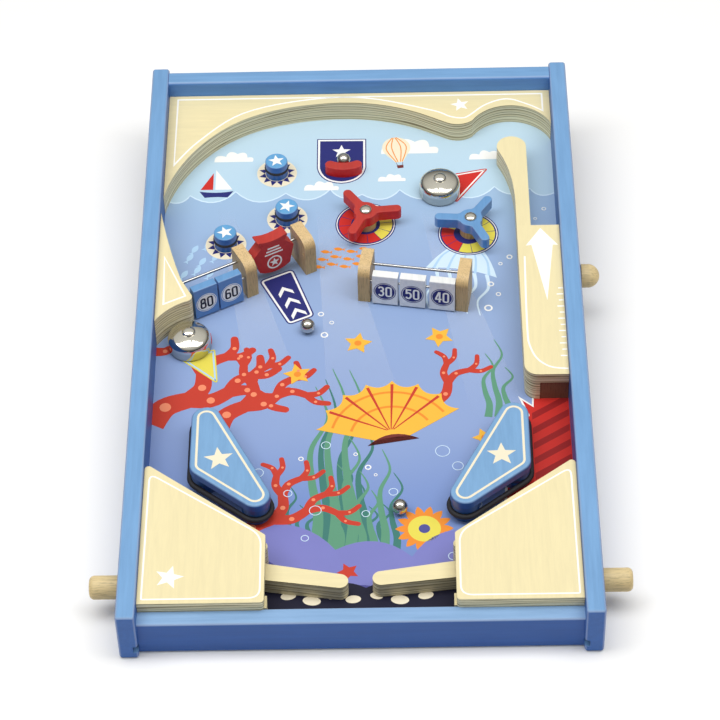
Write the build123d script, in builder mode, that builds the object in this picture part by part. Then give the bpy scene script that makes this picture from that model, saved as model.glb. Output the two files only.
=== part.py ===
from build123d import *
import os
from math import asin, atan2, cos, degrees, hypot, radians, sin, sqrt, tan

# A wooden tabletop pinball game: a shallow tray propped up at the back, with a printed deck,
# plywood guides, two flippers worked by side buttons, a sprung launcher, swinging targets,
# spinners, bells, bumpers and three steel balls.
# Every place on the deck is given as x across it, s up it from the front end of the side rails,
# and h above the undersides of the rails. All lengths are in millimetres.

# Cabinet: four rails round a panel
cabinet_width = 370.0
rail_length = 620.0
rail_height = 50.0
rail_thickness = 15.0
rail_round = 2.5
end_setback = 5.5
rear_rise = 35.0
panel_thickness = 7.0
panel_lift = 7.0
groove_depth = 4.0
dowel_radius = 3.0
dowel_depth = 10.0
dowel_height_shares = (0.25, 0.75)
foot_width = 24.0
foot_depth = 45.0
foot_inset = 20.0

# Clearances and cuts that all the pieces share
seat_gap = 0.2
swing_gap = 0.3
running_gap = 0.06
overrun = 5.0

# Plywood that lies on the deck: one layer for walls, and covers on top of it
ply_layer = 20.0
cover_thickness = 10.0
edge_ease = 0.8

# Arch guide round the back of the deck, as points of its inner edge
arch_left_share = 0.776
arch_right_share = 0.925
arch_sweep_shares = ((-0.86, 0.873), (-0.62, 0.9415), (-0.265, 0.9755), (0.045, 0.9765))
arch_slope_shares = ((0.365, 0.945), (0.455, 0.9305))
arch_bump_shares = ((0.535, 0.9265), (0.59, 0.934))
arch_hollow_share = (0.775, 0.9665)

# Launch lane on the right: a wall with a round nose, and a cover over the launcher
lane_width = 23.5
lane_wall = 12.0
lane_nose_radius = 12.8
lane_nose_share = 0.8745
lane_nose_sweep = 205.0
lane_neck_share = 0.75
lane_clear = 35.6
start_cover_length = 171.5
start_cover_lip = 0.6
start_cover_round = 11.0

# Launcher: a sliding block pulled back by a knob outside the right rail
launcher_length = 24.0
launcher_travel = 60.0
launcher_side_gap = 0.4
stop_setback = 0.5
stop_length = 23.5
stem_radius = 4.0
stem_seat = 12.0
knob_radius = 10.0
knob_length = 15.8
knob_gap = 1.6
knob_dome = 9.0
spring_space = 93.7
spring_radius = 6.2
wire_radius = 0.7
spring_turns = 9
spring_lead_angle = -60.0

# Front corners: covers over the flipper works, with a slanted wall under each
corner_cover_inner = 73.2
corner_cover_low = 84.0
corner_cover_high = 158.5
corner_cover_overlap = 2.1
corner_cover_round = 3.0
corner_wall_width = 9.0
corner_wall_inset = 0.5
spacer_width = 20.0
spacer_depth = 11.5
spacer_lip = 1.8

# Flippers: cranked plywood levers on pivot pins, pushed round by the side buttons
flipper_thickness = 15.0
flipper_lift = 0.5
flipper_length = 62.7
flipper_droops = {"left": 9.8, "right": 7.7}
flipper_throw = 35.0
flipper_root_radius = 8.0
flipper_tip_radius = 6.7
pivot_inset = 10.8
pivot_radius = 3.0
pivot_seat = 5.0
elbow_across = 6.0
elbow_drop = 10.2
lever_drop = 19.5
lever_width = 8.0
nose_radius = 5.5
stud_radius = 2.0
stud_height = 3.6
button_setback = 30.0
button_radius = 9.3
button_reach = 24.0
button_round = 4.0
head_length = 10.0
head_width = 26.0
head_height = 17.6
push_rod_radius = 4.0
peg_radius = 2.5
peg_setback = 19.5
band_wall = 1.6
band_height = 2.0

# Slingshots: a top plate on three spools, with a rubber band round the spools
sling_side_share = 0.7265
sling_clear = 3.5
sling_rise = 49.0
sling_reach = 41.0
sling_drop = 32.5
sling_plate_radius = 12.0
sling_plate_thickness = 7.0
sling_plate_round = 2.0
spool_height = 17.0
spool_radius = 11.2
spool_waist_radius = 10.0
spool_foot = 5.0
sling_band_thickness = 4.6

# Round bumpers with a rubber ring in a groove
bumper_shares = ((-0.43, 0.86), (-0.372, 0.761), (-0.68, 0.708))
bumper_radius = 9.75
bumper_height = 15.5
bumper_ring_height = 7.5
bumper_ring_radius = 1.7
bumper_round = 1.2

# Bent bar that holds the spare ball
cup_share = (-0.083, 0.856)
cup_bend_radius = 26.7
cup_width = 9.0
cup_height = 10.0
cup_half_angle = 26.0

# Spinners on wooden spacers, each held by a domed pin
spinner_shares = {"red": (0.031, 0.745), "blue": (0.561, 0.7262)}
spinner_turns = {"red": 5.0, "blue": 55.5}
spinner_hub_radius = 10.3
spinner_blade_reach = 30.8
spinner_blade_width = 8.0
spinner_thickness = 10.0
spinner_web_radius = 5.0
spacer_radius = 9.0
spacer_height = 8.0
pin_radius = 2.0
pin_head_radius = 5.3
pin_head_height = 2.6

# Bells: a chromed cup on a post, held by a domed screw
bell_shares = {"upper": (0.412, 0.812), "lower": (-0.836, 0.5026)}
bell_radius = 18.0
bell_wall = 1.2
bell_skirt = 9.0
bell_shoulder = 6.5
bell_shoulder_angle = 70.0
bell_height = 17.4
bell_post_radius = 5.0
bell_boss_radius = 6.0
bell_lift = 0.6
bell_head_radius = 5.7
bell_head_height = 2.6

# Gates: uprights carrying a swinging axle in front and a stop rod behind
post_thickness = 10.2
post_depth = 27.5
post_height = 37.0
post_round = 9.0
rod_radius = 1.25
axle_depth = 3.7
axle_height = 22.0
stop_depth = 17.6
stop_height = 28.6
rod_seat = 6.0
wide_gate_share = (-0.01, 0.588)
wide_gate_turn = -9.4
wide_gate_span = 73.0
angled_gate_share = (-0.559, 0.5971)
angled_gate_turn = 28.0
angled_gate_span = 51.0
flap_span = 45.4

# Targets that hang on the gates
block_width = 21.5
block_thickness = 8.0
block_height = 31.5
block_lift = 1.0
block_lead = 0.7
block_ease = 1.0
wide_block_start_shares = (0.032, 0.352, 0.697)
angled_block_start_shares = (0.035, 0.488)
flap_width = 38.0
flap_height = 38.5
flap_lift = 6.9
flap_thickness = 11.0
flap_shift = -0.8
flap_foot_share = 0.75
flap_foot_level_share = 0.11
flap_shoulder_level_share = 0.584
flap_waist_share = 0.575
flap_waist_level_share = 0.795
flap_tip_share = 0.795
flap_notch_level_share = 0.906

# Left guide: a plywood wedge that also carries the angled gate's rods
guide_low_share = 0.5055
guide_high_share = 0.7263
guide_belly_share = (-0.926, 0.53)
guide_flank_share = (-0.944, 0.652)
guide_front = 5.5
guide_back = 20.5
guide_corner_round = 5.0

# Steel balls
ball_radius = 6.35
ball_shares = ((-0.258, 0.529), (0.183, 0.188))

# Sizes that follow from those above
half_width = cabinet_width / 2
half_inside = half_width - rail_thickness
wall_x = half_inside - seat_gap
front_face = end_setback + rail_thickness
back_face = rail_length - front_face
inside_length = back_face - front_face
deck_height = panel_lift + panel_thickness
layer_top = deck_height + ply_layer
groove_height = panel_thickness + seat_gap
tilt = asin(rear_rise / rail_length)

# The deck's own directions, and the front lower corner that puts the part's origin under its middle
across = Vector(1, 0, 0)
along = Vector(0, cos(tilt), sin(tilt))
upward = Vector(0, -sin(tilt), cos(tilt))
front_reach = rail_round - rail_round * cos(tilt) + (rail_height - rail_round) * sin(tilt)
back_reach = (rail_length - rail_round) * cos(tilt) - rail_round * sin(tilt) + rail_round
corner_drop = rail_round * (sin(tilt) + cos(tilt) - 1)
corner = Vector(0, (front_reach - back_reach) / 2, -corner_drop)
lift_axis = Axis(corner, upward)


def point(x, s, h):
    """The point at x across, s up and h above the deck's frame."""
    return corner + across * x + along * s + upward * h


def heading(turn):
    """The direction across the deck, turned about the deck's normal."""
    return across * cos(radians(turn)) + along * sin(radians(turn))


def flat(h=0, spot=(0, 0), turn=0):
    """A plane parallel to the deck."""
    return Plane(point(spot[0], spot[1], h), x_dir=heading(turn), z_dir=upward)


def side_on(x, s=0, h=0, turn=0):
    """An upright plane that looks across the deck: its axes run up the deck and away from it."""
    return Plane(point(x, s, h), x_dir=heading(turn + 90), z_dir=heading(turn))


def end_on(x, s, h, turn=0):
    """An upright plane that looks up the deck: its axes run across the deck and away from it."""
    return Plane(point(x, s, h), x_dir=heading(turn), z_dir=heading(turn - 90))


def hung(place, h, turn):
    """A plane square to a rod, with its axes at the rod: towards the back, and straight up."""
    rod_way = heading(turn)
    level = Vector(0, 0, 1)
    plumb = (level - rod_way * level.dot(rod_way)).normalized()
    return Plane(point(*place, h), x_dir=plumb.cross(rod_way), z_dir=rod_way)


def spot(share):
    """A place on the deck from its shares of the inside half width and the inside length."""
    return share[0] * half_inside, front_face + share[1] * inside_length


def along_spot(share):
    """A distance up the deck from its share of the inside length."""
    return front_face + share * inside_length


def gate_point(origin, turn, reach, depth):
    """A place on the deck in a gate's own directions: along its rods and behind its front."""
    x = origin[0] + reach * cos(radians(turn)) - depth * sin(radians(turn))
    s = origin[1] + reach * sin(radians(turn)) + depth * cos(radians(turn))
    return x, s


def keep(piece, name):
    """Label a finished piece and write it to its own file."""
    piece.part.label = name
    export_step(piece.part, f"parts/{name}.step")


os.makedirs("parts", exist_ok=True)
hands = {"left": -1, "right": 1}

# Places that several pieces share
button_s = front_face + button_setback
button_h = deck_height + ply_layer / 2
sling_x = sling_side_share * half_inside
sling_s = corner_cover_high + sling_clear
lane_x = half_inside - lane_width
lane_front = sling_s + sling_rise + lane_clear
lane_middle = half_inside - lane_width / 2
stop_front = lane_front + stop_setback
stop_back = stop_front + stop_length
slider_front = stop_back + spring_space
launcher_s = slider_front + launcher_length / 2
end_rail_middles = (end_setback + rail_thickness / 2, back_face + rail_thickness / 2)
end_rail_heights = (layer_top, rail_height)
dowel_spots = [
    (s, deck_height + share * (height - deck_height))
    for s, height in zip(end_rail_middles, end_rail_heights)
    for share in dowel_height_shares
]
pivot_x = corner_cover_inner + pivot_inset
pivot_s = button_s + lever_drop
nose_x = pivot_x + lever_drop * tan(radians(flipper_throw / 2))
head_x = half_inside - swing_gap - head_length
peg_x = (nose_x + head_x) / 2
peg_s = front_face + peg_setback
flipper_low = deck_height + flipper_lift
flipper_top = flipper_low + flipper_thickness

# Side rails: rounded bars with a groove for the panel, open at both ends
for side, hand in hands.items():
    with BuildPart() as side_rail:
        with BuildSketch(side_on(hand * half_inside)):
            with Locations((rail_length / 2, rail_height / 2)):
                Rectangle(rail_length, rail_height)
        extrude(amount=hand * rail_thickness)
        fillet(side_rail.edges(), rail_round)
        with BuildSketch(side_on(hand * half_inside)):
            with Locations((rail_length / 2, panel_lift + groove_height / 2)):
                Rectangle(rail_length + overrun, groove_height)
        extrude(amount=hand * groove_depth, mode=Mode.SUBTRACT)
        with BuildSketch(side_on(hand * half_inside)):
            with Locations(*dowel_spots):
                Circle(dowel_radius + running_gap)
        extrude(amount=hand * dowel_depth, mode=Mode.SUBTRACT)
        with BuildSketch(side_on(hand * half_inside)):
            with Locations((button_s, button_h)):
                Circle(button_radius + running_gap)
            if side == "right":
                with Locations((launcher_s - launcher_travel / 2, button_h)):
                    SlotCenterToCenter(launcher_travel, 2 * (stem_radius + swing_gap))
        extrude(amount=hand * (rail_thickness + overrun), mode=Mode.SUBTRACT)
    keep(side_rail, f"side_rail_{side}")

# End rails: square at the ends, rounded along their length, grooved inside
end_rails = {"front": (front_face, -1, layer_top), "back": (back_face, 1, rail_height)}
for end, (face_s, outward, height) in end_rails.items():
    with BuildPart() as end_rail:
        with BuildSketch(flat()):
            with Locations((0, face_s + outward * rail_thickness / 2)):
                Rectangle(2 * half_inside, rail_thickness)
        extrude(amount=height)
        fillet(end_rail.edges().filter_by(Axis.X), rail_round)
        with BuildSketch(flat(panel_lift)):
            with Locations((0, face_s + outward * groove_depth / 2)):
                Rectangle(2 * half_inside + overrun, groove_depth)
        extrude(amount=groove_height, mode=Mode.SUBTRACT)
        for hand in hands.values():
            with BuildSketch(side_on(hand * half_inside)):
                with Locations(*dowel_spots):
                    Circle(dowel_radius + running_gap)
            extrude(amount=-hand * (dowel_depth + seat_gap), mode=Mode.SUBTRACT)
    keep(end_rail, f"{end}_rail")

# Dowels that pin the rails together
with BuildPart() as rail_dowels:
    for hand in hands.values():
        with BuildSketch(side_on(hand * (half_inside - dowel_depth))):
            with Locations(*dowel_spots):
                Circle(dowel_radius)
        extrude(amount=hand * (2 * dowel_depth - seat_gap))
keep(rail_dowels, "rail_dowels")

# Panel, held in the grooves of all four rails
with BuildPart() as playfield_panel:
    with BuildSketch(flat(panel_lift)):
        with Locations((0, rail_length / 2)):
            Rectangle(
                2 * (half_inside + groove_depth - seat_gap),
                inside_length + 2 * (groove_depth - seat_gap),
            )
        with Locations(*[(hand * pivot_x, pivot_s) for hand in hands.values()]):
            Circle(pivot_radius + running_gap, mode=Mode.SUBTRACT)
    extrude(amount=panel_thickness)
keep(playfield_panel, "playfield_panel")

# Rear feet: wedges under the side rails, cut level with the floor
foot_back = rail_length - foot_inset
foot_front = foot_back - foot_depth
with BuildPart() as rear_feet:
    for hand in hands.values():
        with BuildSketch(side_on(hand * (half_width - rail_round))):
            with BuildLine():
                Polyline(
                    (foot_front, 0),
                    (foot_back, 0),
                    (foot_back, (corner_drop - foot_back * sin(tilt)) / cos(tilt)),
                    (foot_front, (corner_drop - foot_front * sin(tilt)) / cos(tilt)),
                    close=True,
                )
            make_face()
        extrude(amount=-hand * foot_width)
keep(rear_feet, "rear_feet")

# Arch guide: fills the back corners and leads a launched ball round
with BuildPart() as arch_guide:
    with BuildSketch(flat(deck_height)):
        with BuildLine():
            left_end = (-wall_x, along_spot(arch_left_share))
            right_end = (wall_x, along_spot(arch_right_share))
            back_s = back_face - seat_gap
            sweep_points = [spot(share) for share in arch_sweep_shares]
            slope_start, slope_end = [spot(share) for share in arch_slope_shares]
            bump_low, bump_high = [spot(share) for share in arch_bump_shares]
            Spline(left_end, *sweep_points, slope_start)
            Line(slope_start, slope_end)
            ThreePointArc(slope_end, bump_low, bump_high)
            ThreePointArc(bump_high, spot(arch_hollow_share), right_end)
            Polyline(right_end, (wall_x, back_s), (-wall_x, back_s), left_end)
        make_face()
    extrude(amount=ply_layer)
keep(arch_guide, "arch_guide")

# Left guide: hollowed in front, with a flat flank for the rods of the angled gate
angled_origin = spot(angled_gate_share)
guide_reach = -angled_gate_span
guide_corner = gate_point(angled_origin, angled_gate_turn, guide_reach, -guide_front)
guide_heel = gate_point(angled_origin, angled_gate_turn, guide_reach, guide_back)
with BuildPart() as left_guide:
    with BuildSketch(flat(deck_height)):
        with BuildLine():
            low_end = (-wall_x, along_spot(guide_low_share))
            high_end = (-wall_x, along_spot(guide_high_share))
            ThreePointArc(low_end, spot(guide_belly_share), guide_corner)
            Line(guide_corner, guide_heel)
            ThreePointArc(guide_heel, spot(guide_flank_share), high_end)
            Line(high_end, low_end)
        make_face()
    extrude(amount=ply_layer + cover_thickness)
    upright_edges = left_guide.edges().filter_by(lambda edge: abs(edge.tangent_at(0).dot(upward)) > 0.99)
    fillet(upright_edges.sort_by(Axis.X)[-1], guide_corner_round)
    for depth, height in ((axle_depth, axle_height), (stop_depth, stop_height)):
        with BuildSketch(side_on(*angled_origin, deck_height, angled_gate_turn).offset(guide_reach)):
            with Locations((depth, height)):
                Circle(rod_radius + running_gap)
        extrude(amount=-rod_seat, mode=Mode.SUBTRACT)
keep(left_guide, "left_guide")

# Lane divider: a thin wall that ends in a round nose
with BuildPart() as lane_divider:
    with BuildSketch(flat(deck_height)) as outline:
        with BuildLine():
            nose_s = along_spot(lane_nose_share)
            neck_s = along_spot(lane_neck_share)
            inner_x = lane_x - lane_wall
            Line((lane_x, lane_front), (lane_x, nose_s))
            nose = CenterArc((lane_x - lane_nose_radius, nose_s), lane_nose_radius, 0, lane_nose_sweep)
            Spline(nose @ 1, (inner_x, neck_s), tangents=(nose % 1, (0, -1)))
            Polyline((inner_x, neck_s), (inner_x, lane_front), (lane_x, lane_front))
        make_face()
        fillet(outline.vertices().group_by(Axis.Y)[0].sort_by(Axis.X)[0], start_cover_round - start_cover_lip)
    extrude(amount=ply_layer)
keep(lane_divider, "lane_divider")

# Cover over the launcher
with BuildPart() as start_cover:
    with BuildSketch(flat(layer_top)) as outline:
        cover_x = lane_x - lane_wall - start_cover_lip
        with Locations(((cover_x + wall_x) / 2, lane_front + start_cover_length / 2)):
            Rectangle(wall_x - cover_x, start_cover_length)
        fillet(outline.vertices().group_by(Axis.Y)[0].sort_by(Axis.X)[0], start_cover_round)
    extrude(amount=cover_thickness)
keep(start_cover, "start_cover")

# Stop block that closes the front of the launcher's channel and seats its spring
with BuildPart() as lane_stop:
    with BuildSketch(flat(deck_height)):
        with Locations((lane_middle, (stop_front + stop_back) / 2)):
            Rectangle(lane_width - 2 * seat_gap, stop_length)
    extrude(amount=ply_layer)
keep(lane_stop, "lane_stop")

# Launcher slider: a block that fills the channel, bored for the knob's stem
slider_low = deck_height + swing_gap
with BuildPart() as launcher_slider:
    with BuildSketch(flat(slider_low)):
        with Locations((lane_middle, launcher_s)):
            RectangleRounded(lane_width - 2 * launcher_side_gap, launcher_length, edge_ease)
    extrude(amount=ply_layer - 2 * swing_gap)
    with BuildSketch(side_on(half_inside - stem_seat)):
        with Locations((launcher_s, button_h)):
            Circle(stem_radius + running_gap)
    extrude(amount=lane_width, mode=Mode.SUBTRACT)
keep(launcher_slider, "launcher_slider")

# Launcher knob: a turned grip with a domed end, on the stem that runs in the rail's slot
with BuildPart() as launcher_knob:
    with BuildSketch(flat(button_h, (0, launcher_s))):
        with BuildLine():
            stem_end = half_inside - stem_seat
            knob_low = half_width + knob_gap
            knob_end = knob_low + knob_length
            rim = (knob_end - knob_dome, knob_radius)
            Polyline(
                (stem_end, 0),
                (stem_end, stem_radius),
                (knob_low, stem_radius),
                (knob_low, knob_radius),
                rim,
            )
            RadiusArc(rim, (knob_end, 0), (knob_radius**2 + knob_dome**2) / (2 * knob_dome))
            Line((knob_end, 0), (stem_end, 0))
        make_face()
    revolve(axis=Axis(point(0, launcher_s, button_h), across))
    rims = launcher_knob.edges().filter_by(GeomType.CIRCLE).sort_by(Axis.X)
    fillet([edge for edge in rims if edge.radius > stem_radius + edge_ease][0], edge_ease)
keep(launcher_knob, "launcher_knob")


def biarc(start, start_way, end, end_way):
    """Two arcs that join two points, each leaving or arriving in a given direction."""
    span = end - start
    ways = start_way + end_way
    spread = 2 * (1 - start_way.dot(end_way))
    lean = span.dot(ways)
    reach = (sqrt(lean**2 + spread * span.dot(span)) - lean) / spread
    middle = (start + end + (start_way - end_way) * reach) * 0.5
    first = TangentArc(start, middle, tangent=start_way)
    TangentArc(middle, end, tangent=first % 1)


# Launcher spring: one wire, straight for its own thickness where it meets the block at each end
spring_start = stop_back + seat_gap
spring_end = slider_front - seat_gap
lead_length = 2 * wire_radius
coil_start = spring_start + lead_length + spring_radius / 2
coil_pitch = (spring_end - lead_length - spring_radius / 2 - coil_start) / spring_turns
climb = coil_pitch / 360


def coil_point(angle, s):
    """A point of the spring's middle line."""
    x = lane_middle + spring_radius * cos(radians(angle))
    return point(x, s, button_h + spring_radius * sin(radians(angle)))


def coil_way(angle):
    """The direction of the wire in the coils."""
    turn_speed = radians(1) * spring_radius
    level = across * (-sin(radians(angle))) + upward * cos(radians(angle))
    return (level * turn_speed + along * climb).normalized()


with BuildPart() as launcher_spring:
    with BuildLine() as wire_line:
        last_angle = spring_turns * 360
        out_angle = last_angle - spring_lead_angle
        lead_start = coil_point(spring_lead_angle, spring_start)
        lead_in = coil_point(spring_lead_angle, spring_start + lead_length)
        lead_out = coil_point(out_angle, spring_end - lead_length)
        Line(lead_start, lead_in)
        biarc(lead_in, along, coil_point(0, coil_start), coil_way(0))
        for angle in range(0, last_angle, 90):
            quarter_start = coil_point(angle, coil_start + angle * climb)
            quarter_end = coil_point(angle + 90, coil_start + (angle + 90) * climb)
            biarc(quarter_start, coil_way(angle), quarter_end, coil_way(angle + 90))
        biarc(quarter_end, coil_way(last_angle), lead_out, along)
        Line(lead_out, coil_point(out_angle, spring_end))
    with BuildSketch(Plane(lead_start, x_dir=across, z_dir=along)):
        Circle(wire_radius)
    sweep(path=wire_line.wires()[0])
wire = wire_line.wires()[0]
samples_per_turn = 40
sample_count = samples_per_turn * (spring_turns + 1)
samples = [wire @ (i / sample_count) for i in range(sample_count + 1)]
nearest = min(
    (samples[i] - samples[j]).length
    for i in range(len(samples))
    for j in range(i + samples_per_turn // 2, len(samples))
)
print("launcher spring, least gap to itself:", round(nearest - 2 * wire_radius, 2), "mm")
keep(launcher_spring, "launcher_spring")

# Front corners, one for each hand
slant = Vector(wall_x - corner_cover_inner, corner_cover_high - corner_cover_low).normalized()
for side, hand in hands.items():
    # Cover with a slanted back edge, resting on the front rail and on the walls below
    with BuildPart() as corner_cover:
        with BuildSketch(flat(layer_top)) as outline:
            with BuildLine():
                cover_front = front_face - corner_cover_overlap
                Polyline(
                    (hand * corner_cover_inner, cover_front),
                    (hand * wall_x, cover_front),
                    (hand * wall_x, corner_cover_high),
                    (hand * corner_cover_inner, corner_cover_low),
                    close=True,
                )
            make_face()
            outer_front = outline.vertices().group_by(Axis.Y)[0].sort_by(Axis.X)[-1 if hand > 0 else 0]
            fillet([v for v in outline.vertices() if v != outer_front], corner_cover_round)
        extrude(amount=cover_thickness)
        with BuildSketch(flat(layer_top)):
            with Locations((hand * pivot_x, pivot_s)):
                Circle(pivot_radius + running_gap)
        extrude(amount=pivot_seat + seat_gap, mode=Mode.SUBTRACT)
    keep(corner_cover, f"corner_cover_{side}")

    # Slanted wall under the cover's back edge, which leads the ball to the flipper
    with BuildPart() as corner_wall:
        with BuildSketch(flat(deck_height)):
            half_wall = corner_wall_width / 2
            inward = Vector(slant.Y, -slant.X) * half_wall
            wall_start = Vector(corner_cover_inner, corner_cover_low) + slant * corner_wall_inset + inward
            wall_end = wall_start + slant * ((wall_x - half_wall - wall_start.X) / slant.X)
            middle = (wall_start + wall_end) * 0.5
            with Locations((hand * middle.X, middle.Y)):
                SlotCenterToCenter(
                    (wall_end - wall_start).length,
                    corner_wall_width,
                    rotation=hand * degrees(atan2(slant.Y, slant.X)),
                )
        extrude(amount=ply_layer)
    keep(corner_wall, f"corner_wall_{side}")

    # Flipper: elbow round the pivot, blade to the middle, nose for the button and stud for the band
    elbow = (hand * (pivot_x - elbow_across), pivot_s - elbow_drop)
    droop = radians(flipper_droops[side])
    tip = (elbow[0] - hand * flipper_length * cos(droop), elbow[1] - flipper_length * sin(droop))
    pivot = (hand * pivot_x, pivot_s)
    nose = (hand * nose_x, button_s)
    with BuildSketch() as blade:
        with Locations(elbow):
            Circle(flipper_root_radius)
        with Locations(tip):
            Circle(flipper_tip_radius)
        make_hull()
    with BuildSketch() as crank:
        with Locations(elbow, pivot):
            Circle(flipper_root_radius)
        make_hull()
    with BuildSketch() as lever:
        with Locations(pivot, nose):
            Circle(lever_width / 2)
        make_hull()
        with Locations(nose):
            Circle(nose_radius)
    with BuildPart() as flipper:
        with BuildSketch(flat(flipper_low)):
            add(blade.sketch)
            add(crank.sketch)
            add(lever.sketch)
            with Locations(pivot):
                Circle(pivot_radius + running_gap, mode=Mode.SUBTRACT)
        extrude(amount=flipper_thickness)
        with BuildSketch(flat(flipper_top)):
            with Locations(nose):
                Circle(stud_radius)
        extrude(amount=stud_height)
    keep(flipper, f"flipper_{side}")

    # Button: a rounded dowel through the rail, a head that keeps it in, and a rod to the flipper's nose
    with BuildPart() as flipper_button:
        rod_end = nose_x + nose_radius + swing_gap
        with BuildSketch(side_on(hand * (head_x + head_length))):
            with Locations((button_s, button_h)):
                Circle(button_radius)
        extrude(amount=hand * (half_width + button_reach - head_x - head_length))
        outer_edge = flipper_button.edges().sort_by(Axis.X)[-1 if hand > 0 else 0]
        fillet(outer_edge, button_round)
        with BuildSketch(side_on(hand * head_x)):
            with Locations((button_s, button_h)):
                RectangleRounded(head_width, head_height, button_round)
        extrude(amount=hand * head_length)
        with BuildSketch(side_on(hand * rod_end)):
            with Locations((button_s, button_h)):
                Circle(push_rod_radius)
        extrude(amount=hand * (head_x - rod_end))
        rod_tip = flipper_button.edges().filter_by(GeomType.CIRCLE).sort_by(Axis.X)[0 if hand > 0 else -1]
        fillet(rod_tip, push_rod_radius - edge_ease)
    keep(flipper_button, f"flipper_button_{side}")

    # Return band: a rubber loop from the flipper's stud to a peg on the deck
    peg = (hand * peg_x, peg_s)
    loops = []
    for wall in (swing_gap + band_wall, swing_gap):
        with BuildSketch() as loop:
            with Locations(nose):
                Circle(stud_radius + wall)
            with Locations(peg):
                Circle(peg_radius + wall)
            make_hull()
        loops.append(loop)
    with BuildPart() as return_band:
        with BuildSketch(flat(flipper_top + (stud_height - band_height) / 2)):
            add(loops[0].sketch)
            add(loops[1].sketch, mode=Mode.SUBTRACT)
        extrude(amount=band_height)
    keep(return_band, f"return_band_{side}")

# Spacers that carry the inner front ends of the corner covers
with BuildPart() as corner_spacers:
    with BuildSketch(flat(deck_height)):
        spacer_x = corner_cover_inner - spacer_lip + spacer_width / 2
        spacer_s = front_face + seat_gap + spacer_depth / 2
        with Locations(*[(hand * spacer_x, spacer_s) for hand in hands.values()]):
            Rectangle(spacer_width, spacer_depth)
    extrude(amount=ply_layer)
keep(corner_spacers, "corner_spacers")

# Pivot pins of the flippers, from the panel up into the covers
with BuildPart() as flipper_pivots:
    with BuildSketch(flat(panel_lift)):
        with Locations(*[(hand * pivot_x, pivot_s) for hand in hands.values()]):
            Circle(pivot_radius)
    extrude(amount=layer_top + pivot_seat - panel_lift)
keep(flipper_pivots, "flipper_pivots")

# Pegs for the return bands, between the deck and the covers
with BuildPart() as band_pegs:
    with BuildSketch(flat(deck_height)):
        with Locations(*[(hand * peg_x, peg_s) for hand in hands.values()]):
            Circle(peg_radius)
    extrude(amount=ply_layer)
keep(band_pegs, "band_pegs")

# Slingshots, one for each hand
plate_low = deck_height + spool_height
for side, hand in hands.items():
    spools = [
        (hand * sling_x, sling_s),
        (hand * sling_x, sling_s + sling_rise),
        (hand * (sling_x - sling_reach), sling_s - sling_drop),
    ]
    with BuildPart() as slingshot_top:
        with BuildSketch(flat(plate_low)):
            with Locations(*spools):
                Circle(sling_plate_radius)
            make_hull()
        extrude(amount=sling_plate_thickness)
        fillet(slingshot_top.faces().sort_by(lift_axis)[-1].edges(), sling_plate_round)
    keep(slingshot_top, f"slingshot_top_{side}")

    with BuildPart() as slingshot_posts:
        with BuildSketch(flat(deck_height)):
            with Locations(*spools):
                Circle(spool_radius)
        extrude(amount=spool_foot)
        with BuildSketch(flat(deck_height)):
            with Locations(*spools):
                Circle(spool_waist_radius)
        extrude(amount=spool_height)
        with BuildSketch(flat(deck_height + spool_foot + sling_band_thickness + 2 * seat_gap)):
            with Locations(*spools):
                Circle(spool_radius)
        extrude(amount=spool_height - spool_foot - sling_band_thickness - 2 * seat_gap)
    keep(slingshot_posts, f"slingshot_posts_{side}")

    loops = []
    for radius in (spool_waist_radius + seat_gap + sling_band_thickness, spool_waist_radius + seat_gap):
        with BuildSketch() as loop:
            with Locations(*spools):
                Circle(radius)
            make_hull()
        loops.append(loop)
    with BuildPart() as slingshot_band:
        with BuildSketch(flat(deck_height + spool_foot + seat_gap)):
            add(loops[0].sketch)
            add(loops[1].sketch, mode=Mode.SUBTRACT)
        extrude(amount=sling_band_thickness)
        fillet(slingshot_band.faces().sort_by(lift_axis)[-1].edges(), sling_band_thickness / 2 - edge_ease)
        fillet(slingshot_band.faces().sort_by(lift_axis)[0].edges(), sling_band_thickness / 2 - edge_ease)
    keep(slingshot_band, f"slingshot_band_{side}")

# Bumpers: turned posts, each with a groove for its ring
bumper_spots = [spot(share) for share in bumper_shares]
ring_h = deck_height + bumper_ring_height
ring_middle = bumper_radius - bumper_ring_radius / 2
for number, bumper_spot in enumerate(bumper_spots, 1):
    with BuildPart() as bumper_post:
        with BuildSketch(flat(deck_height)):
            with Locations(bumper_spot):
                Circle(bumper_radius)
        extrude(amount=bumper_height)
        fillet(bumper_post.faces().sort_by(lift_axis)[-1].edges(), bumper_round)
        with Locations(flat(ring_h, bumper_spot)):
            Torus(ring_middle, bumper_ring_radius + running_gap, mode=Mode.SUBTRACT)
    keep(bumper_post, f"bumper_post_{number}")

with BuildPart() as bumper_rings:
    with Locations(*[flat(ring_h, bumper_spot) for bumper_spot in bumper_spots]):
        Torus(ring_middle, bumper_ring_radius)
keep(bumper_rings, "bumper_rings")

# Ball cup: a bar bent into a shallow bowl that opens up the deck
cup_spot = spot(cup_share)
with BuildPart() as ball_cup:
    with BuildSketch(flat(deck_height, cup_spot)):
        with BuildLine(mode=Mode.PRIVATE) as bend:
            CenterArc((0, cup_bend_radius), cup_bend_radius, -90 - cup_half_angle, 2 * cup_half_angle)
        SlotArc(bend.edges()[0], cup_width)
    extrude(amount=cup_height)
    fillet(ball_cup.faces().sort_by(lift_axis)[-1].edges(), edge_ease)
keep(ball_cup, "ball_cup")

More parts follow.
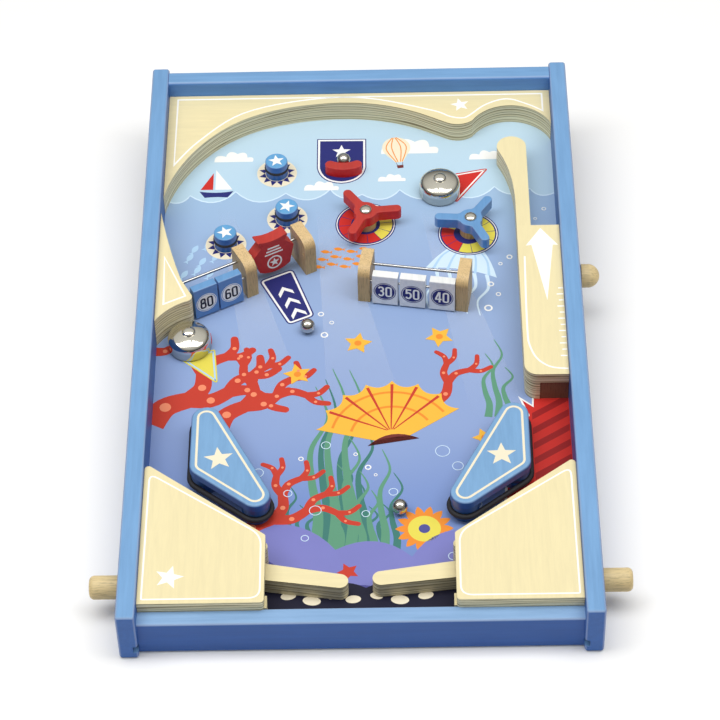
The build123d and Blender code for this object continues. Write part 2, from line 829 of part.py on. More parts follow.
# Spinners: three blades on a hub that turns on a pin above a spacer
spinner_low = deck_height + spacer_height + swing_gap
for colour, share in spinner_shares.items():
    with BuildPart() as spinner:
        with BuildSketch(flat(spinner_low, spot(share), spinner_turns[colour])) as outline:
            Circle(spinner_hub_radius)
            with PolarLocations((spinner_blade_reach - spinner_blade_width / 2) / 2, 3):
                SlotCenterToCenter(spinner_blade_reach - spinner_blade_width / 2, spinner_blade_width)
            roots = [v for v in outline.vertices() if hypot(v.X, v.Y) < spinner_hub_radius + edge_ease]
            fillet(roots, spinner_web_radius)
            Circle(pin_radius + running_gap, mode=Mode.SUBTRACT)
        extrude(amount=spinner_thickness)
        fillet(spinner.faces().sort_by(lift_axis)[-1].outer_wire().edges(), edge_ease)
    keep(spinner, f"spinner_{colour}")

with BuildPart() as spinner_spacers:
    with BuildSketch(flat(deck_height)):
        with Locations(*[spot(share) for share in spinner_shares.values()]):
            Circle(spacer_radius)
            Circle(pin_radius + running_gap, mode=Mode.SUBTRACT)
    extrude(amount=spacer_height)
keep(spinner_spacers, "spinner_spacers")


def domed_pin(place, head_low, head_radius, head_height):
    """A turned pin that stands on the deck at a place, with a low dome on top."""
    dome_radius = (head_radius**2 + head_height**2) / (2 * head_height)
    with BuildSketch(end_on(*place, deck_height)) as outline:
        with BuildLine():
            Polyline((0, 0), (pin_radius, 0), (pin_radius, head_low), (head_radius, head_low))
            RadiusArc((head_radius, head_low), (0, head_low + head_height), -dome_radius)
            Line((0, head_low + head_height), (0, 0))
        make_face()
    revolve(outline.sketch, axis=Axis(point(*place, deck_height), upward))


# Pins that hold the spinners down
with BuildPart() as spinner_pins:
    for share in spinner_shares.values():
        head_low = spacer_height + spinner_thickness + 2 * swing_gap
        domed_pin(spot(share), head_low, pin_head_radius, pin_head_height)
keep(spinner_pins, "spinner_pins")

# Bells: thin turned cups with a round shoulder, open below
for level, share in bell_shares.items():
    x, s = spot(share)
    with BuildPart() as bell:
        with BuildSketch(end_on(x, s, deck_height + bell_lift)):
            with BuildLine():
                bore = pin_radius + running_gap
                inside = bell_radius - bell_wall
                crown_low = bell_height - bell_wall
                turn_middle = (bell_radius - bell_shoulder, bell_skirt)
                outer = CenterArc(turn_middle, bell_shoulder, 0, bell_shoulder_angle)
                inner = CenterArc(turn_middle, bell_shoulder - bell_wall, 0, bell_shoulder_angle)
                TangentArc(outer @ 1, (bore, bell_height), tangent=outer % 1)
                Polyline((bore, bell_height), (bore, crown_low), (bell_boss_radius, crown_low), inner @ 1)
                Polyline(inner @ 0, (inside, 0), (bell_radius, 0), outer @ 0)
            make_face()
        revolve(axis=Axis(point(x, s, deck_height), upward))
    keep(bell, f"bell_{level}")

# Posts under the bells, and the screws through the crowns
bell_crown = bell_lift + bell_height
with BuildPart() as bell_posts:
    with BuildSketch(flat(deck_height)):
        with Locations(*[spot(share) for share in bell_shares.values()]):
            Circle(bell_post_radius)
            Circle(pin_radius + running_gap, mode=Mode.SUBTRACT)
    extrude(amount=bell_crown - bell_wall - seat_gap)
keep(bell_posts, "bell_posts")

with BuildPart() as bell_screws:
    for share in bell_shares.values():
        domed_pin(spot(share), bell_crown + seat_gap, bell_head_radius, bell_head_height)
keep(bell_screws, "bell_screws")


def gate_post(origin, turn, reach):
    """One upright: a block with a rounded front top edge, bored alike for an axle and a stop rod."""
    with BuildSketch(side_on(*gate_point(origin, turn, reach, 0), deck_height, turn)) as outline:
        with Locations((post_depth / 2, post_height / 2)):
            Rectangle(post_depth, post_height)
        fillet(outline.vertices().group_by(Axis.Y)[-1].sort_by(Axis.X)[0], post_round)
        fillet(outline.vertices().group_by(Axis.Y)[-1].sort_by(Axis.X)[-1], edge_ease)
        with Locations(axle_bore, stop_bore):
            Circle(rod_radius + running_gap, mode=Mode.SUBTRACT)
    extrude(outline.sketch, amount=post_thickness)


def gate_rod(origin, turn, bore, start, end):
    """One straight rod along a gate, from start to end."""
    with BuildSketch(side_on(*gate_point(origin, turn, start, 0), deck_height, turn)) as outline:
        with Locations(bore):
            Circle(rod_radius)
    extrude(outline.sketch, amount=end - start)


axle_bore = (axle_depth, axle_height)
stop_bore = (stop_depth, stop_height)
wide_origin = spot(wide_gate_share)
wide_far = post_thickness + wide_gate_span
with BuildPart() as wide_gate_posts:
    for reach in (0, wide_far):
        gate_post(wide_origin, wide_gate_turn, reach)
keep(wide_gate_posts, "wide_gate_posts")

with BuildPart() as wide_gate_rods:
    for bore in (axle_bore, stop_bore):
        gate_rod(
            wide_origin,
            wide_gate_turn,
            bore,
            post_thickness - rod_seat,
            wide_far + rod_seat,
        )
keep(wide_gate_rods, "wide_gate_rods")

flap_far = post_thickness + flap_span
with BuildPart() as angled_gate_posts:
    for reach in (0, flap_far):
        gate_post(angled_origin, angled_gate_turn, reach)
keep(angled_gate_posts, "angled_gate_posts")

with BuildPart() as angled_gate_rods:
    rod_start = guide_reach - rod_seat + seat_gap
    gate_rod(angled_origin, angled_gate_turn, axle_bore, rod_start, rod_seat)
    gate_rod(angled_origin, angled_gate_turn, stop_bore, rod_start, flap_far + rod_seat)
keep(angled_gate_rods, "angled_gate_rods")


def target_block(origin, turn, reach):
    """A hanging block with eased edges, bored for the axle."""
    place = gate_point(origin, turn, reach, axle_depth)
    with BuildSketch(hung(place, deck_height + axle_height, turn)) as outline:
        with Locations((-block_lead, block_lift + block_height / 2 - axle_height)):
            RectangleRounded(block_thickness, block_height, block_ease)
        Circle(rod_radius + running_gap, mode=Mode.SUBTRACT)
    extrude(outline.sketch, amount=block_width)


for number, share in enumerate(wide_block_start_shares, 1):
    with BuildPart() as wide_block:
        target_block(wide_origin, wide_gate_turn, post_thickness + share * wide_gate_span)
    keep(wide_block, f"wide_gate_block_{number}")

for number, share in enumerate(angled_block_start_shares, 1):
    with BuildPart() as angled_block:
        target_block(angled_origin, angled_gate_turn, guide_reach * (1 - share))
    keep(angled_block, f"angled_gate_block_{number}")

# Flap between the angled gate's uprights: a broad body, a narrow waist and a swallow tail on top
flap_reach = (post_thickness + flap_far) / 2 + flap_shift
flap_place = gate_point(angled_origin, angled_gate_turn, flap_reach, stop_depth)
rod_plane = hung(flap_place, deck_height + stop_height, angled_gate_turn)
flap_face = Plane(rod_plane.origin, x_dir=rod_plane.z_dir, z_dir=-rod_plane.x_dir)
with BuildPart() as tail_flap:
    with BuildSketch(flap_face) as outline:
        with BuildLine():
            half_flap = flap_width / 2
            flap_low = flap_lift - stop_height
            right_side = [
                (half_flap * flap_foot_share, flap_low + flap_height * flap_foot_level_share),
                (half_flap, flap_low + flap_height * flap_shoulder_level_share),
                (half_flap * flap_waist_share, flap_low + flap_height * flap_waist_level_share),
                (half_flap * flap_tip_share, flap_low + flap_height),
            ]
            left_side = [(-x, y) for x, y in right_side]
            notch = (0, flap_low + flap_height * flap_notch_level_share)
            ThreePointArc(left_side[0], (0, flap_low), right_side[0])
            Polyline(*right_side)
            ThreePointArc(right_side[-1], notch, left_side[-1])
            Polyline(*left_side)
        make_face()
        fillet(outline.vertices(), block_ease)
    extrude(amount=flap_thickness / 2, both=True)
    with BuildSketch(rod_plane):
        Circle(rod_radius + running_gap)
    extrude(amount=flap_span, both=True, mode=Mode.SUBTRACT)
keep(tail_flap, "tail_flap")

# Balls: two on the deck and one in the cup
cup_ball_rise = cup_width / 2 + swing_gap + ball_radius
ball_spots = [spot(share) for share in ball_shares] + [(cup_spot[0], cup_spot[1] + cup_ball_rise)]
for number, ball_spot in enumerate(ball_spots, 1):
    with BuildPart() as ball:
        with Locations(flat(deck_height + ball_radius + seat_gap, ball_spot)):
            Sphere(ball_radius)
    keep(ball, f"ball_{number}")
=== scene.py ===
from math import asin, atan2, cos, hypot, pi, radians, sin

import bmesh
import bpy
from mathutils import Matrix, Vector


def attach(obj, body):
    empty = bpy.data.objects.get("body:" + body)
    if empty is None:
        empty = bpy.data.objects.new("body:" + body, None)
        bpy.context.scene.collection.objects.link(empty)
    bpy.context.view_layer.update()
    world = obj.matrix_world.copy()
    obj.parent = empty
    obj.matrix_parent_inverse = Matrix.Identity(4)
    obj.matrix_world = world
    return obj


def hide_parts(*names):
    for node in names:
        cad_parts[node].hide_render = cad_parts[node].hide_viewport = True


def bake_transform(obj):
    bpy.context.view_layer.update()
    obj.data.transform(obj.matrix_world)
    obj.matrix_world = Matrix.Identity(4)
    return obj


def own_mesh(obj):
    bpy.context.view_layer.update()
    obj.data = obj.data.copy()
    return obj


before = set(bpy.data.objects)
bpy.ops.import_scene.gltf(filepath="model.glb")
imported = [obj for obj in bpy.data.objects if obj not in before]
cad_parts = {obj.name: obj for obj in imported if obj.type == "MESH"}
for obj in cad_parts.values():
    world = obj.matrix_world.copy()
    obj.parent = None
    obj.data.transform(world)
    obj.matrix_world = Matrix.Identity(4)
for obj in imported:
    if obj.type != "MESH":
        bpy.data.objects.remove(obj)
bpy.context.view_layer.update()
MM = 0.001

# The deck's own frame, as in the part: x across, s up the deck, h above the undersides of the rails
RISE, LENGTH, RAIL_H, ROUND = 35, 620, 50, 2.5
TILT = asin(RISE / LENGTH)
ACROSS = Vector((1, 0, 0))
ALONG = Vector((0, cos(TILT), sin(TILT)))
UPWARD = Vector((0, -sin(TILT), cos(TILT)))
AXES = (ACROSS, ALONG, UPWARD)
FRONT_REACH = ROUND - ROUND * cos(TILT) + (RAIL_H - ROUND) * sin(TILT)
BACK_REACH = (LENGTH - ROUND) * cos(TILT) - ROUND * sin(TILT) + ROUND
CORNER = Vector((0, (FRONT_REACH - BACK_REACH) / 2, -ROUND * (sin(TILT) + cos(TILT) - 1)))
# Heights of the panel, the plywood on it and the covers, and half the panel's width
DECK, LAYER, COVER, HALF = 14.0, 34.0, 44.0, 170.0


def place(x, s, h):
    """A point in metres from the deck's own millimetres."""
    return (CORNER + ACROSS * x + ALONG * s + UPWARD * h) * MM


# Colours and materials


def linear(level):
    """One channel of a screen colour, 0 to 255, as linear light."""
    share = level / 255
    return share / 12.92 if level <= 10 else ((share + 0.055) / 1.055) ** 2.4


def srgb(*levels):
    return tuple(linear(level) for level in levels) + (1.0,)


def grey(tone):
    return (tone, tone, tone, 1.0)


def shade(colour, factor):
    return tuple(c * factor for c in colour[:3]) + (1.0,)


# The colour sockets of a mix node
MIX_A, MIX_B, MIX_RESULT = 6, 7, 2


class Paint:
    """One material and the few kinds of node that all of them are made of."""

    def __init__(self, name, rough, metal=0.0, coat=0.0, coat_rough=0.15, specular=0.5):
        self.material = bpy.data.materials.new(name)
        self.material.use_nodes = True
        self.tree = self.material.node_tree
        self.shader = self.tree.nodes["Principled BSDF"]
        for socket, value in (
            ("Roughness", rough), ("Metallic", metal), ("Coat Weight", coat), ("Coat Roughness", coat_rough),
            ("Specular IOR Level", specular),
        ):
            self.shader.inputs[socket].default_value = value
        coordinates = self.node("TexCoord", {})
        self.point = coordinates.outputs["Object"]
        self.normal = coordinates.outputs["Normal"]

    def node(self, kind, sockets, **settings):
        """A new node, with its settings made and its sockets fed."""
        node = self.tree.nodes.new(f"ShaderNode{kind}")
        for name, value in settings.items():
            setattr(node, name, value)
        for socket, value in sockets.items():
            self.link(value, node.inputs[socket])
        return node

    def link(self, value, socket):
        """Feed a socket from another one, or set it."""
        if isinstance(value, bpy.types.NodeSocket):
            self.tree.links.new(value, socket)
        else:
            socket.default_value = value

    def along(self, direction, vector=None):
        """How far a point lies along a direction, in metres."""
        sockets = {0: vector or self.point, 1: direction}
        return self.node("VectorMath", sockets, operation="DOT_PRODUCT").outputs["Value"]

    def math(self, operation, a, b=0.0):
        return self.node("Math", {0: a, 1: b}, operation=operation).outputs["Value"]

    def scaled(self, value, factor):
        return self.math("MULTIPLY", value, factor)

    def stretched(self, scales):
        """The point in deck directions, stretched for grain."""
        sockets = {i: self.along(axis * scale) for i, (axis, scale) in enumerate(zip(AXES, scales))}
        return self.node("CombineXYZ", sockets).outputs["Vector"]

    def noise(self, scale, detail=3.0, rough=0.5, vector=None, distortion=0.0):
        return self.node("TexNoise", {
            "Vector": vector or self.point, "Scale": scale, "Detail": detail, "Roughness": rough,
            "Distortion": distortion,
        }).outputs["Fac"]

    def ramp(self, factor, stops):
        """A colour that eases from stop to stop."""
        node = self.node("ValToRGB", {"Fac": factor})
        node.color_ramp.interpolation = "EASE"
        elements = node.color_ramp.elements
        while len(elements) < len(stops):
            elements.new(0.5)
        for element, (position, colour) in zip(elements, stops):
            element.position = position
            element.color = colour
        return node.outputs["Color"]

    def mix(self, factor, a, b, blend="MIX"):
        sockets = {0: factor, MIX_A: a, MIX_B: b}
        return self.node("Mix", sockets, data_type="RGBA", blend_type=blend).outputs[MIX_RESULT]

    def tinted(self, colour, tint):
        """A colour times another."""
        return self.mix(1.0, colour, tint, "MULTIPLY")

    def colour(self, value):
        self.link(value, self.shader.inputs["Base Color"])

    def roughness(self, factor, low, high):
        self.link(self.span(factor, 0.0, 1.0, low, high), self.shader.inputs["Roughness"])

    def bump(self, height, strength, distance):
        node = self.node("Bump", {"Strength": strength, "Distance": distance, "Height": height})
        self.link(node.outputs["Normal"], self.shader.inputs["Normal"])

    def span(self, value, low, high, start=0.0, end=1.0):
        """The start up to low, the end from high on, and an even change between."""
        sockets = {"Value": value, "From Min": low, "From Max": high, "To Min": start, "To Max": end}
        return self.node("MapRange", sockets).outputs["Result"]

    def facing(self, direction):
        """How squarely a face looks along a direction, either way."""
        return self.math("ABSOLUTE", self.along(direction, self.normal))

    def facing_up(self, low=0.74, high=0.76):
        """One on faces that lie with the deck, nothing on upright edges."""
        return self.span(self.facing(UPWARD), low, high)

    def round_edges(self):
        """One on rounded edges, nothing on the flat faces between them."""
        flatness = 0.0
        for axis in AXES:
            flatness = self.math("MAXIMUM", self.facing(axis), flatness)
        return self.span(flatness, 0.97, 0.8)


def painted(name, colour, rough=0.42, grain=(90, 6, 90), side=None, wear_and_highlight=0.12, gloss=0.25):
    """Painted wood: grain shows faintly, the tone is uneven, upright faces take a darker side colour as
    painted shade, and rounded edges are paler, partly rubbed wear and partly a painted highlight.
    """
    paint = Paint(name, rough, coat=gloss, coat_rough=0.16, specular=0.3)
    lines = paint.noise(3.0, 6.0, 0.68, paint.stretched(grain))
    cloud = paint.noise(14.0, 2.0)
    # Faces that turn from the deck take the side colour, a shaded copy of the paint: painted shade
    body = paint.mix(paint.facing_up(0.35, 0.95), side or shade(colour, 0.8), colour)
    uneven = paint.math("ADD", paint.scaled(lines, 0.65), paint.scaled(cloud, 0.35))
    body = paint.tinted(body, paint.ramp(uneven, ((0.3, (0.84, 0.86, 0.88, 1)), (0.7, (1.07, 1.06, 1.05, 1)))))
    # Rounded edges go paler: partly rubbed wear, partly a painted highlight
    pale = paint.mix(0.5, body, (0.9, 0.93, 0.96, 1))
    paint.colour(paint.mix(paint.scaled(paint.round_edges(), wear_and_highlight), body, pale))
    paint.roughness(lines, rough - 0.06, rough + 0.1)
    fine = paint.scaled(paint.noise(900.0, 2.0), 0.35)
    paint.bump(paint.math("ADD", lines, fine), 0.3, 0.00025)
    return paint.material


# The thickness of a ply, and how far the plies wander
PLY, PLY_SPREAD = 2.8, 7.0


def plywood(name, top, grain):
    """Varnished plywood: a pale face with fine grain, and edges with plies of uneven thickness."""
    paint = Paint(name, 0.48, coat=0.05, coat_rough=0.3, specular=0.3)
    figure = paint.noise(4.0, 6.0, 0.6, paint.stretched(grain), 0.6)
    pores = paint.noise(26.0, 4.0, 0.7, paint.stretched(grain))
    face = paint.mix(figure, shade(top, 1.05), shade(top, 0.86))
    face = paint.mix(paint.scaled(pores, 0.22), face, shade(top, 0.62))
    waviness = paint.noise(1.0, 2.0, 0.5, paint.stretched((7, 7, 190)))
    height = paint.math("ADD", paint.along(UPWARD), paint.scaled(waviness, PLY_SPREAD * MM))
    phase = paint.scaled(height, 2 * pi / (PLY * MM))
    band = paint.math("ADD", paint.scaled(paint.math("SINE", phase), 0.5), 0.5)
    other = paint.math("SINE", paint.scaled(phase, 0.5))
    glue = paint.ramp(band, (
        (0.0, srgb(140, 126, 94)), (0.08, srgb(188, 176, 138)), (0.2, srgb(236, 227, 190)),
        (1.0, srgb(247, 240, 208)),
    ))
    plies = paint.mix(paint.span(other, -0.3, 0.3), (0.86, 0.83, 0.77, 1), grey(1.0))
    streak = paint.noise(26.0, 4.0, 0.6, paint.stretched((14, 14, 240)))
    edge = paint.mix(paint.scaled(streak, 0.3), paint.tinted(glue, plies), srgb(190, 176, 132))
    paint.colour(paint.mix(paint.facing_up(), edge, face))
    relief = paint.math("ADD", paint.scaled(band, 0.5), paint.scaled(pores, 0.7))
    paint.roughness(pores, 0.42, 0.56)
    paint.bump(relief, 0.22, 0.0003)
    return paint.material


def beech(name, tone, grain, side=0.96):
    """Bare varnished beech, with short dark flecks along the grain; upright faces are darkened by a side
    factor, a painted shade.
    """
    paint = Paint(name, 0.5, coat=0.05, coat_rough=0.3, specular=0.3)
    figure = paint.noise(5.0, 5.0, 0.6, paint.stretched(grain), 0.8)
    fleck = paint.noise(13.0, 3.0, 0.75, paint.stretched(grain))
    wood = paint.mix(figure, shade(tone, 1.1), shade(tone, 0.8))
    shown = paint.ramp(fleck, ((0.48, grey(0.0)), (0.66, grey(0.7))))
    wood = paint.mix(shown, wood, shade(tone, 0.48))
    # Upright faces darkened: painted shade
    upright = paint.tinted(wood, (side, side * 0.98, side * 0.93, 1))
    paint.colour(paint.mix(paint.facing_up(0.3, 0.9), upright, wood))
    paint.roughness(figure, 0.42, 0.58)
    paint.bump(fleck, 0.18, 0.0003)
    return paint.material


def metal(name, tone, rough, brushed=None, low_shade=0.0):
    """Steel: polished with a faint haze, or drawn with lines along it. Low on the deck it may be darkened with
    painted shade: the skirt stands for a darker reflection and the foot for a contact shadow.
    """
    paint = Paint(name, rough, metal=1.0)
    haze = paint.noise(60.0)
    bright = paint.mix(haze, shade(tone, 0.95), shade(tone, 1.03))
    # Painted shade low on the deck, darkest at the foot
    if low_shade:
        height = paint.math("SUBTRACT", paint.along(UPWARD), CORNER.dot(UPWARD) * MM)
        stops = ((0.03, grey(1 - 2 * low_shade)), (0.1, grey(1 - low_shade)), (0.38, grey(1 - low_shade)), (0.58, grey(1.0)))
        bright = paint.tinted(bright, paint.ramp(paint.span(height, DECK * MM, LAYER * MM), stops))
    paint.colour(bright)
    marks = paint.noise(4.0, 4.0, 0.7, paint.stretched(brushed)) if brushed else paint.noise(350.0, 2.0)
    paint.roughness(haze, rough * 0.8, rough * 1.3)
    paint.bump(marks, 0.12 if brushed else 0.02, 0.0001)
    return paint.material


def rubber(name):
    paint = Paint(name, 0.6, specular=0.4)
    dust = paint.noise(120.0)
    paint.colour(paint.mix(dust, srgb(22, 22, 26), srgb(48, 48, 54)))
    paint.roughness(dust, 0.5, 0.75)
    paint.bump(paint.noise(700.0, 2.0), 0.2, 0.0002)
    return paint.material


def ink(name, colour):
    """A printed colour, a little uneven in tone."""
    paint = Paint(name, 0.5, specular=0.25)
    paint.colour(paint.mix(paint.noise(25.0), shade(colour, 0.93), shade(colour, 1.06)))
    paint.bump(paint.noise(1500.0, 1.0), 0.05, 0.0001)
    return paint.material


def printed_ground(name):
    """A wide printed ground under varnish, still without its colour."""
    paint = Paint(name, 0.45, coat=0.05, coat_rough=0.2, specular=0.3)
    paint.bump(paint.noise(1400.0, 1.0), 0.05, 0.0001)
    return paint


RAIL, PLY_FACE = srgb(118, 162, 208), srgb(239, 226, 180)


# The rails share one paint. Their tops and side colours are lit and shaded copies of it: the front rail's
# paler top is a painted highlight, and the side colours are painted shade, lightest on the back rail's inner
# face
def rail_paint(name, top, side, grain):
    return painted(f"rail_paint_{name}", top, grain=grain, side=side, wear_and_highlight=0.34, gloss=0.06)


looks = {
    rail_paint("sides", RAIL, srgb(54, 102, 176), (90, 5, 90)): ("side_rail_left", "side_rail_right"),
    rail_paint("front", srgb(134, 170, 211), srgb(42, 90, 166), (5, 90, 90)): ("front_rail",),
    rail_paint("back", RAIL, srgb(92, 148, 222), (5, 90, 90)): ("back_rail",),
    painted("foot_paint", srgb(48, 78, 128)): ("rear_feet",),
    plywood("guide_plywood", PLY_FACE, (70, 5, 70)): (
        "left_guide", "lane_divider", "start_cover", "corner_cover_left", "corner_cover_right",
        "corner_wall_left", "corner_wall_right", "corner_spacers",
    ),
    plywood("cross_plywood", PLY_FACE, (5, 70, 70)): ("arch_guide", "flipper_left", "flipper_right"),
    beech("beech_across", srgb(224, 202, 152), (6, 80, 80)): (
        "flipper_button_left", "flipper_button_right", "launcher_knob", "launcher_slider", "rail_dowels",
    ),
    # The stop's dark brown is beech darkened as painted shade, for the block sits under the start cover
    beech("stop_wood", srgb(140, 104, 82), (80, 80, 6)): ("lane_stop",),
    # The posts' upright faces are darkened more: a stronger painted shade
    beech("beech_upright", srgb(222, 192, 142), (80, 80, 6), 0.8): (
        "wide_gate_posts", "angled_gate_posts", "spinner_spacers",
    ),
    # From here on, each side colour is a shaded copy of its paint for upright faces: painted shade. The
    # spools' darker blue is painted shade as well
    painted("sling_paint", srgb(120, 163, 205), side=srgb(34, 86, 162), grain=(70, 8, 70)): (
        "slingshot_top_left", "slingshot_top_right",
    ),
    painted("spool_paint", srgb(44, 92, 164), grain=(70, 70, 8)): (
        "slingshot_posts_left", "slingshot_posts_right",
    ),
    painted("bumper_paint", srgb(98, 162, 212), side=srgb(40, 100, 178), rough=0.34): (
        "bumper_post_1", "bumper_post_2", "bumper_post_3",
    ),
    painted("spinner_blue_paint", srgb(104, 153, 203), side=srgb(66, 126, 196), rough=0.34, wear_and_highlight=0.25): (
        "spinner_blue", "angled_gate_block_1", "angled_gate_block_2",
    ),
    painted("red_paint", srgb(184, 57, 50), side=srgb(212, 30, 27), rough=0.46, wear_and_highlight=0.04, gloss=0.04): (
        "spinner_red", "ball_cup",
    ),
    painted("flap_paint", srgb(184, 57, 50), side=srgb(184, 36, 34), rough=0.46, wear_and_highlight=0.04, gloss=0.04): (
        "tail_flap",
    ),
    painted("white_paint", srgb(240, 241, 240), side=srgb(230, 233, 238), rough=0.34): (
        "wide_gate_block_1", "wide_gate_block_2", "wide_gate_block_3",
    ),
    metal("ball_chrome", (0.58, 0.56, 0.52, 1), 0.1): ("ball_1", "ball_2", "ball_3"),
    metal("drawn_steel", grey(0.5), 0.22, (8, 300, 300)): (
        "wide_gate_rods", "angled_gate_rods", "flipper_pivots", "band_pegs", "bell_posts",
    ),
}

# The panel: a printed sky that the sea is laid over, on brown board
SKY_FRONT, SKY_BACK = -0.31, 0.31
panel = printed_ground("printed_panel")
sky = panel.ramp(panel.span(panel.along(ALONG), SKY_FRONT, SKY_BACK), (
    (0.0, srgb(150, 184, 226)), (0.7, srgb(176, 206, 228)), (1.0, srgb(184, 211, 229)),
))
sky = panel.mix(panel.scaled(panel.noise(9.0), 0.25), sky, srgb(200, 222, 236))
print_side = panel.math("GREATER_THAN", panel.along(UPWARD, panel.normal), 0.5)
panel.colour(panel.mix(print_side, srgb(150, 112, 74), sky))
looks[panel.material] = ("playfield_panel",)

for look, names in looks.items():
    for name in names:
        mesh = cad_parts[name].data
        mesh.materials.clear()
        mesh.materials.append(look)

# Outlines in a plane, in millimetres


def pairs(loop):
    """Each item of a loop with the one after it."""
    return zip(loop, loop[1:] + loop[:1])


def handed(loop):
    """One for a loop that runs anticlockwise, and minus one for the other way."""
    return 1 if sum(a[0] * b[1] - b[0] * a[1] for a, b in pairs(loop)) >= 0 else -1


def oblong(left, low, right, high):
    return [(left, low), (right, low), (right, high), (left, high)]


def disc(x, y, radius, squash=1.0, turn=0.0, steps=40):
    angles = [2 * pi * i / steps for i in range(steps)]
    return rotated([(radius * cos(a), radius * squash * sin(a)) for a in angles], turn, x, y)


def rotated(points, turn, x=0.0, y=0.0):
    c, s = cos(radians(turn)), sin(radians(turn))
    return [(x + px * c - py * s, y + px * s + py * c) for px, py in points]


def ring(x, y, inner, outer, start=0.0, end=360.0):
    """A ring, or a part of one, as a row of quads."""
    steps = max(3, int(abs(end - start) / 8))
    rim = [radians(start + (end - start) * i / steps) for i in range(steps + 1)]
    return [
        [(x + r * cos(t), y + r * sin(t)) for r, t in ((inner, a), (outer, a), (outer, b), (inner, b))]
        for a, b in zip(rim, rim[1:])
    ]


def star(x, y, radius, turn=0.0, waist=0.42):
    corners = []
    for i in range(10):
        a = radians(90 + turn) + pi * i / 5
        r = radius if i % 2 == 0 else radius * waist
        corners.append((x + r * cos(a), y + r * sin(a)))
    return corners


def bulged(points, bulges, steps=8):
    """A closed outline whose sides bow out by a share of their length."""
    outline = []
    for ((x, y), end), bulge in zip(pairs(points), bulges):
        dx, dy = end[0] - x, end[1] - y
        for step in range(steps if bulge else 1):
            t = step / steps
            bow = 4 * bulge * t * (1 - t)
            outline.append((x + dx * t + dy * bow, y + dy * t - dx * bow))
    return outline


def smooth(points, steps=8):
    """A smooth line through points."""
    ends = [points[0]] + list(points) + [points[-1]]
    line = []
    for a, b, c, d in zip(ends, ends[1:], ends[2:], ends[3:]):
        for step in range(steps):
            t = step / steps
            line.append(tuple(
                0.5 * (2 * q + (r - p) * t
                       + (2 * p - 5 * q + 4 * r - u) * t**2 + (3 * q - p - 3 * r + u) * t**3)
                for p, q, r, u in zip(a, b, c, d)
            ))
    return line + [tuple(points[-1])]


def stroke(line, width, end_width=None):
    """The outline of a line, which may change its width from one end to the other."""
    change = (end_width or width) - width
    left_side, right_side = [], []
    for i, (x, y) in enumerate(line):
        before, after = line[max(i - 1, 0)], line[min(i + 1, len(line) - 1)]
        dx, dy = after[0] - before[0], after[1] - before[1]
        length = hypot(dx, dy)
        half = (width + change * i / (len(line) - 1)) / 2
        left_side.append((x - dy / length * half, y + dx / length * half))
        right_side.append((x + dy / length * half, y - dx / length * half))
    return right_side + left_side[::-1]


LEAST_LEAN, CORNER_STEPS = 0.05, 6


def rounded(points, radii):
    """A closed outline with its corners rounded."""
    outline = []
    for i, (corner, radius) in enumerate(zip(points, radii)):
        here = Vector(corner)
        back = Vector(points[i - 1]) - here
        on = Vector(points[(i + 1) % len(points)]) - here
        back_way, on_way = back.normalized(), on.normalized()
        cut = radius / max(LEAST_LEAN, (back_way - on_way).length / 2)
        cut = min(cut * max(LEAST_LEAN, (back_way + on_way).length / 2), back.length / 2, on.length / 2)
        start, end = here + back_way * cut, here + on_way * cut
        for step in range(CORNER_STEPS + 1):
            t = step / CORNER_STEPS
            p = start * (1 - t) ** 2 + here * 2 * t * (1 - t) + end * t**2
            outline.append((p.x, p.y))
    return outline


def inset(outline, distance):
    """A closed outline moved inwards."""
    hand = handed(outline)
    moved = []
    for i, (x, y) in enumerate(outline):
        before, after = outline[i - 1], outline[(i + 1) % len(outline)]
        first = Vector((x - before[0], y - before[1])).normalized()
        second = Vector((after[0] - x, after[1] - y)).normalized()
        normal = Vector((-first.y - second.y, first.x + second.x)).normalized() * hand
        reach = distance / max(0.4, abs(normal.dot(Vector((-first.y, first.x)))))
        moved.append((x + normal.x * reach, y + normal.y * reach))
    return moved


def border(outline, width, distance=0.0):
    """A line of even width that follows an outline from inside."""
    outer, inner = inset(outline, distance), inset(outline, distance + width)
    return [[a, b, d, c] for (a, b), (c, d) in zip(pairs(outer), pairs(inner))]


BEND_STEPS, BAND_STEP = 12, 2.0


def band_line(circles):
    """The line of a band pulled tight round circles, given in order round the loop."""
    line = []
    hand = handed(circles)
    tangents = []
    for (ax, ay, ar), (bx, by, br) in pairs(circles):
        way = atan2(by - ay, bx - ax)
        lean = asin((ar - br) / hypot(bx - ax, by - ay))
        tangents.append(way - hand * (pi / 2 - lean))
    for i, (x, y, r) in enumerate(circles):
        start, end = tangents[i - 1], tangents[i]
        sweep = (hand * (end - start)) % (2 * pi)
        for k in range(BEND_STEPS + 1):
            a = start + hand * sweep * k / BEND_STEPS
            line.append((x + r * cos(a), y + r * sin(a)))
        last_x, last_y = line[-1]
        after_x, after_y, after_r = circles[(i + 1) % len(circles)]
        run_x, run_y = after_x + after_r * cos(end) - last_x, after_y + after_r * sin(end) - last_y
        count = int(hypot(run_x, run_y) / BAND_STEP)
        line += [(last_x + run_x * k / count, last_y + run_y * k / count) for k in range(1, count)]
    return line


# Prints: films of ink, each a closed thin solid on the surface that carries it
INK_STEP, INLAY, OVERLAY = 0.02, 0.06, 0.001


def linked(name, build, look):
    """An object made from a bmesh, which is used up."""
    mesh = bpy.data.meshes.new(name)
    build.to_mesh(mesh)
    build.free()
    mesh.materials.append(look)
    piece = bpy.data.objects.new(name, mesh)
    bpy.context.collection.objects.link(piece)
    return piece


def faces_of(shape):
    """A shape is one face or a list of faces."""
    return shape if isinstance(shape[0][0], tuple) else [shape]


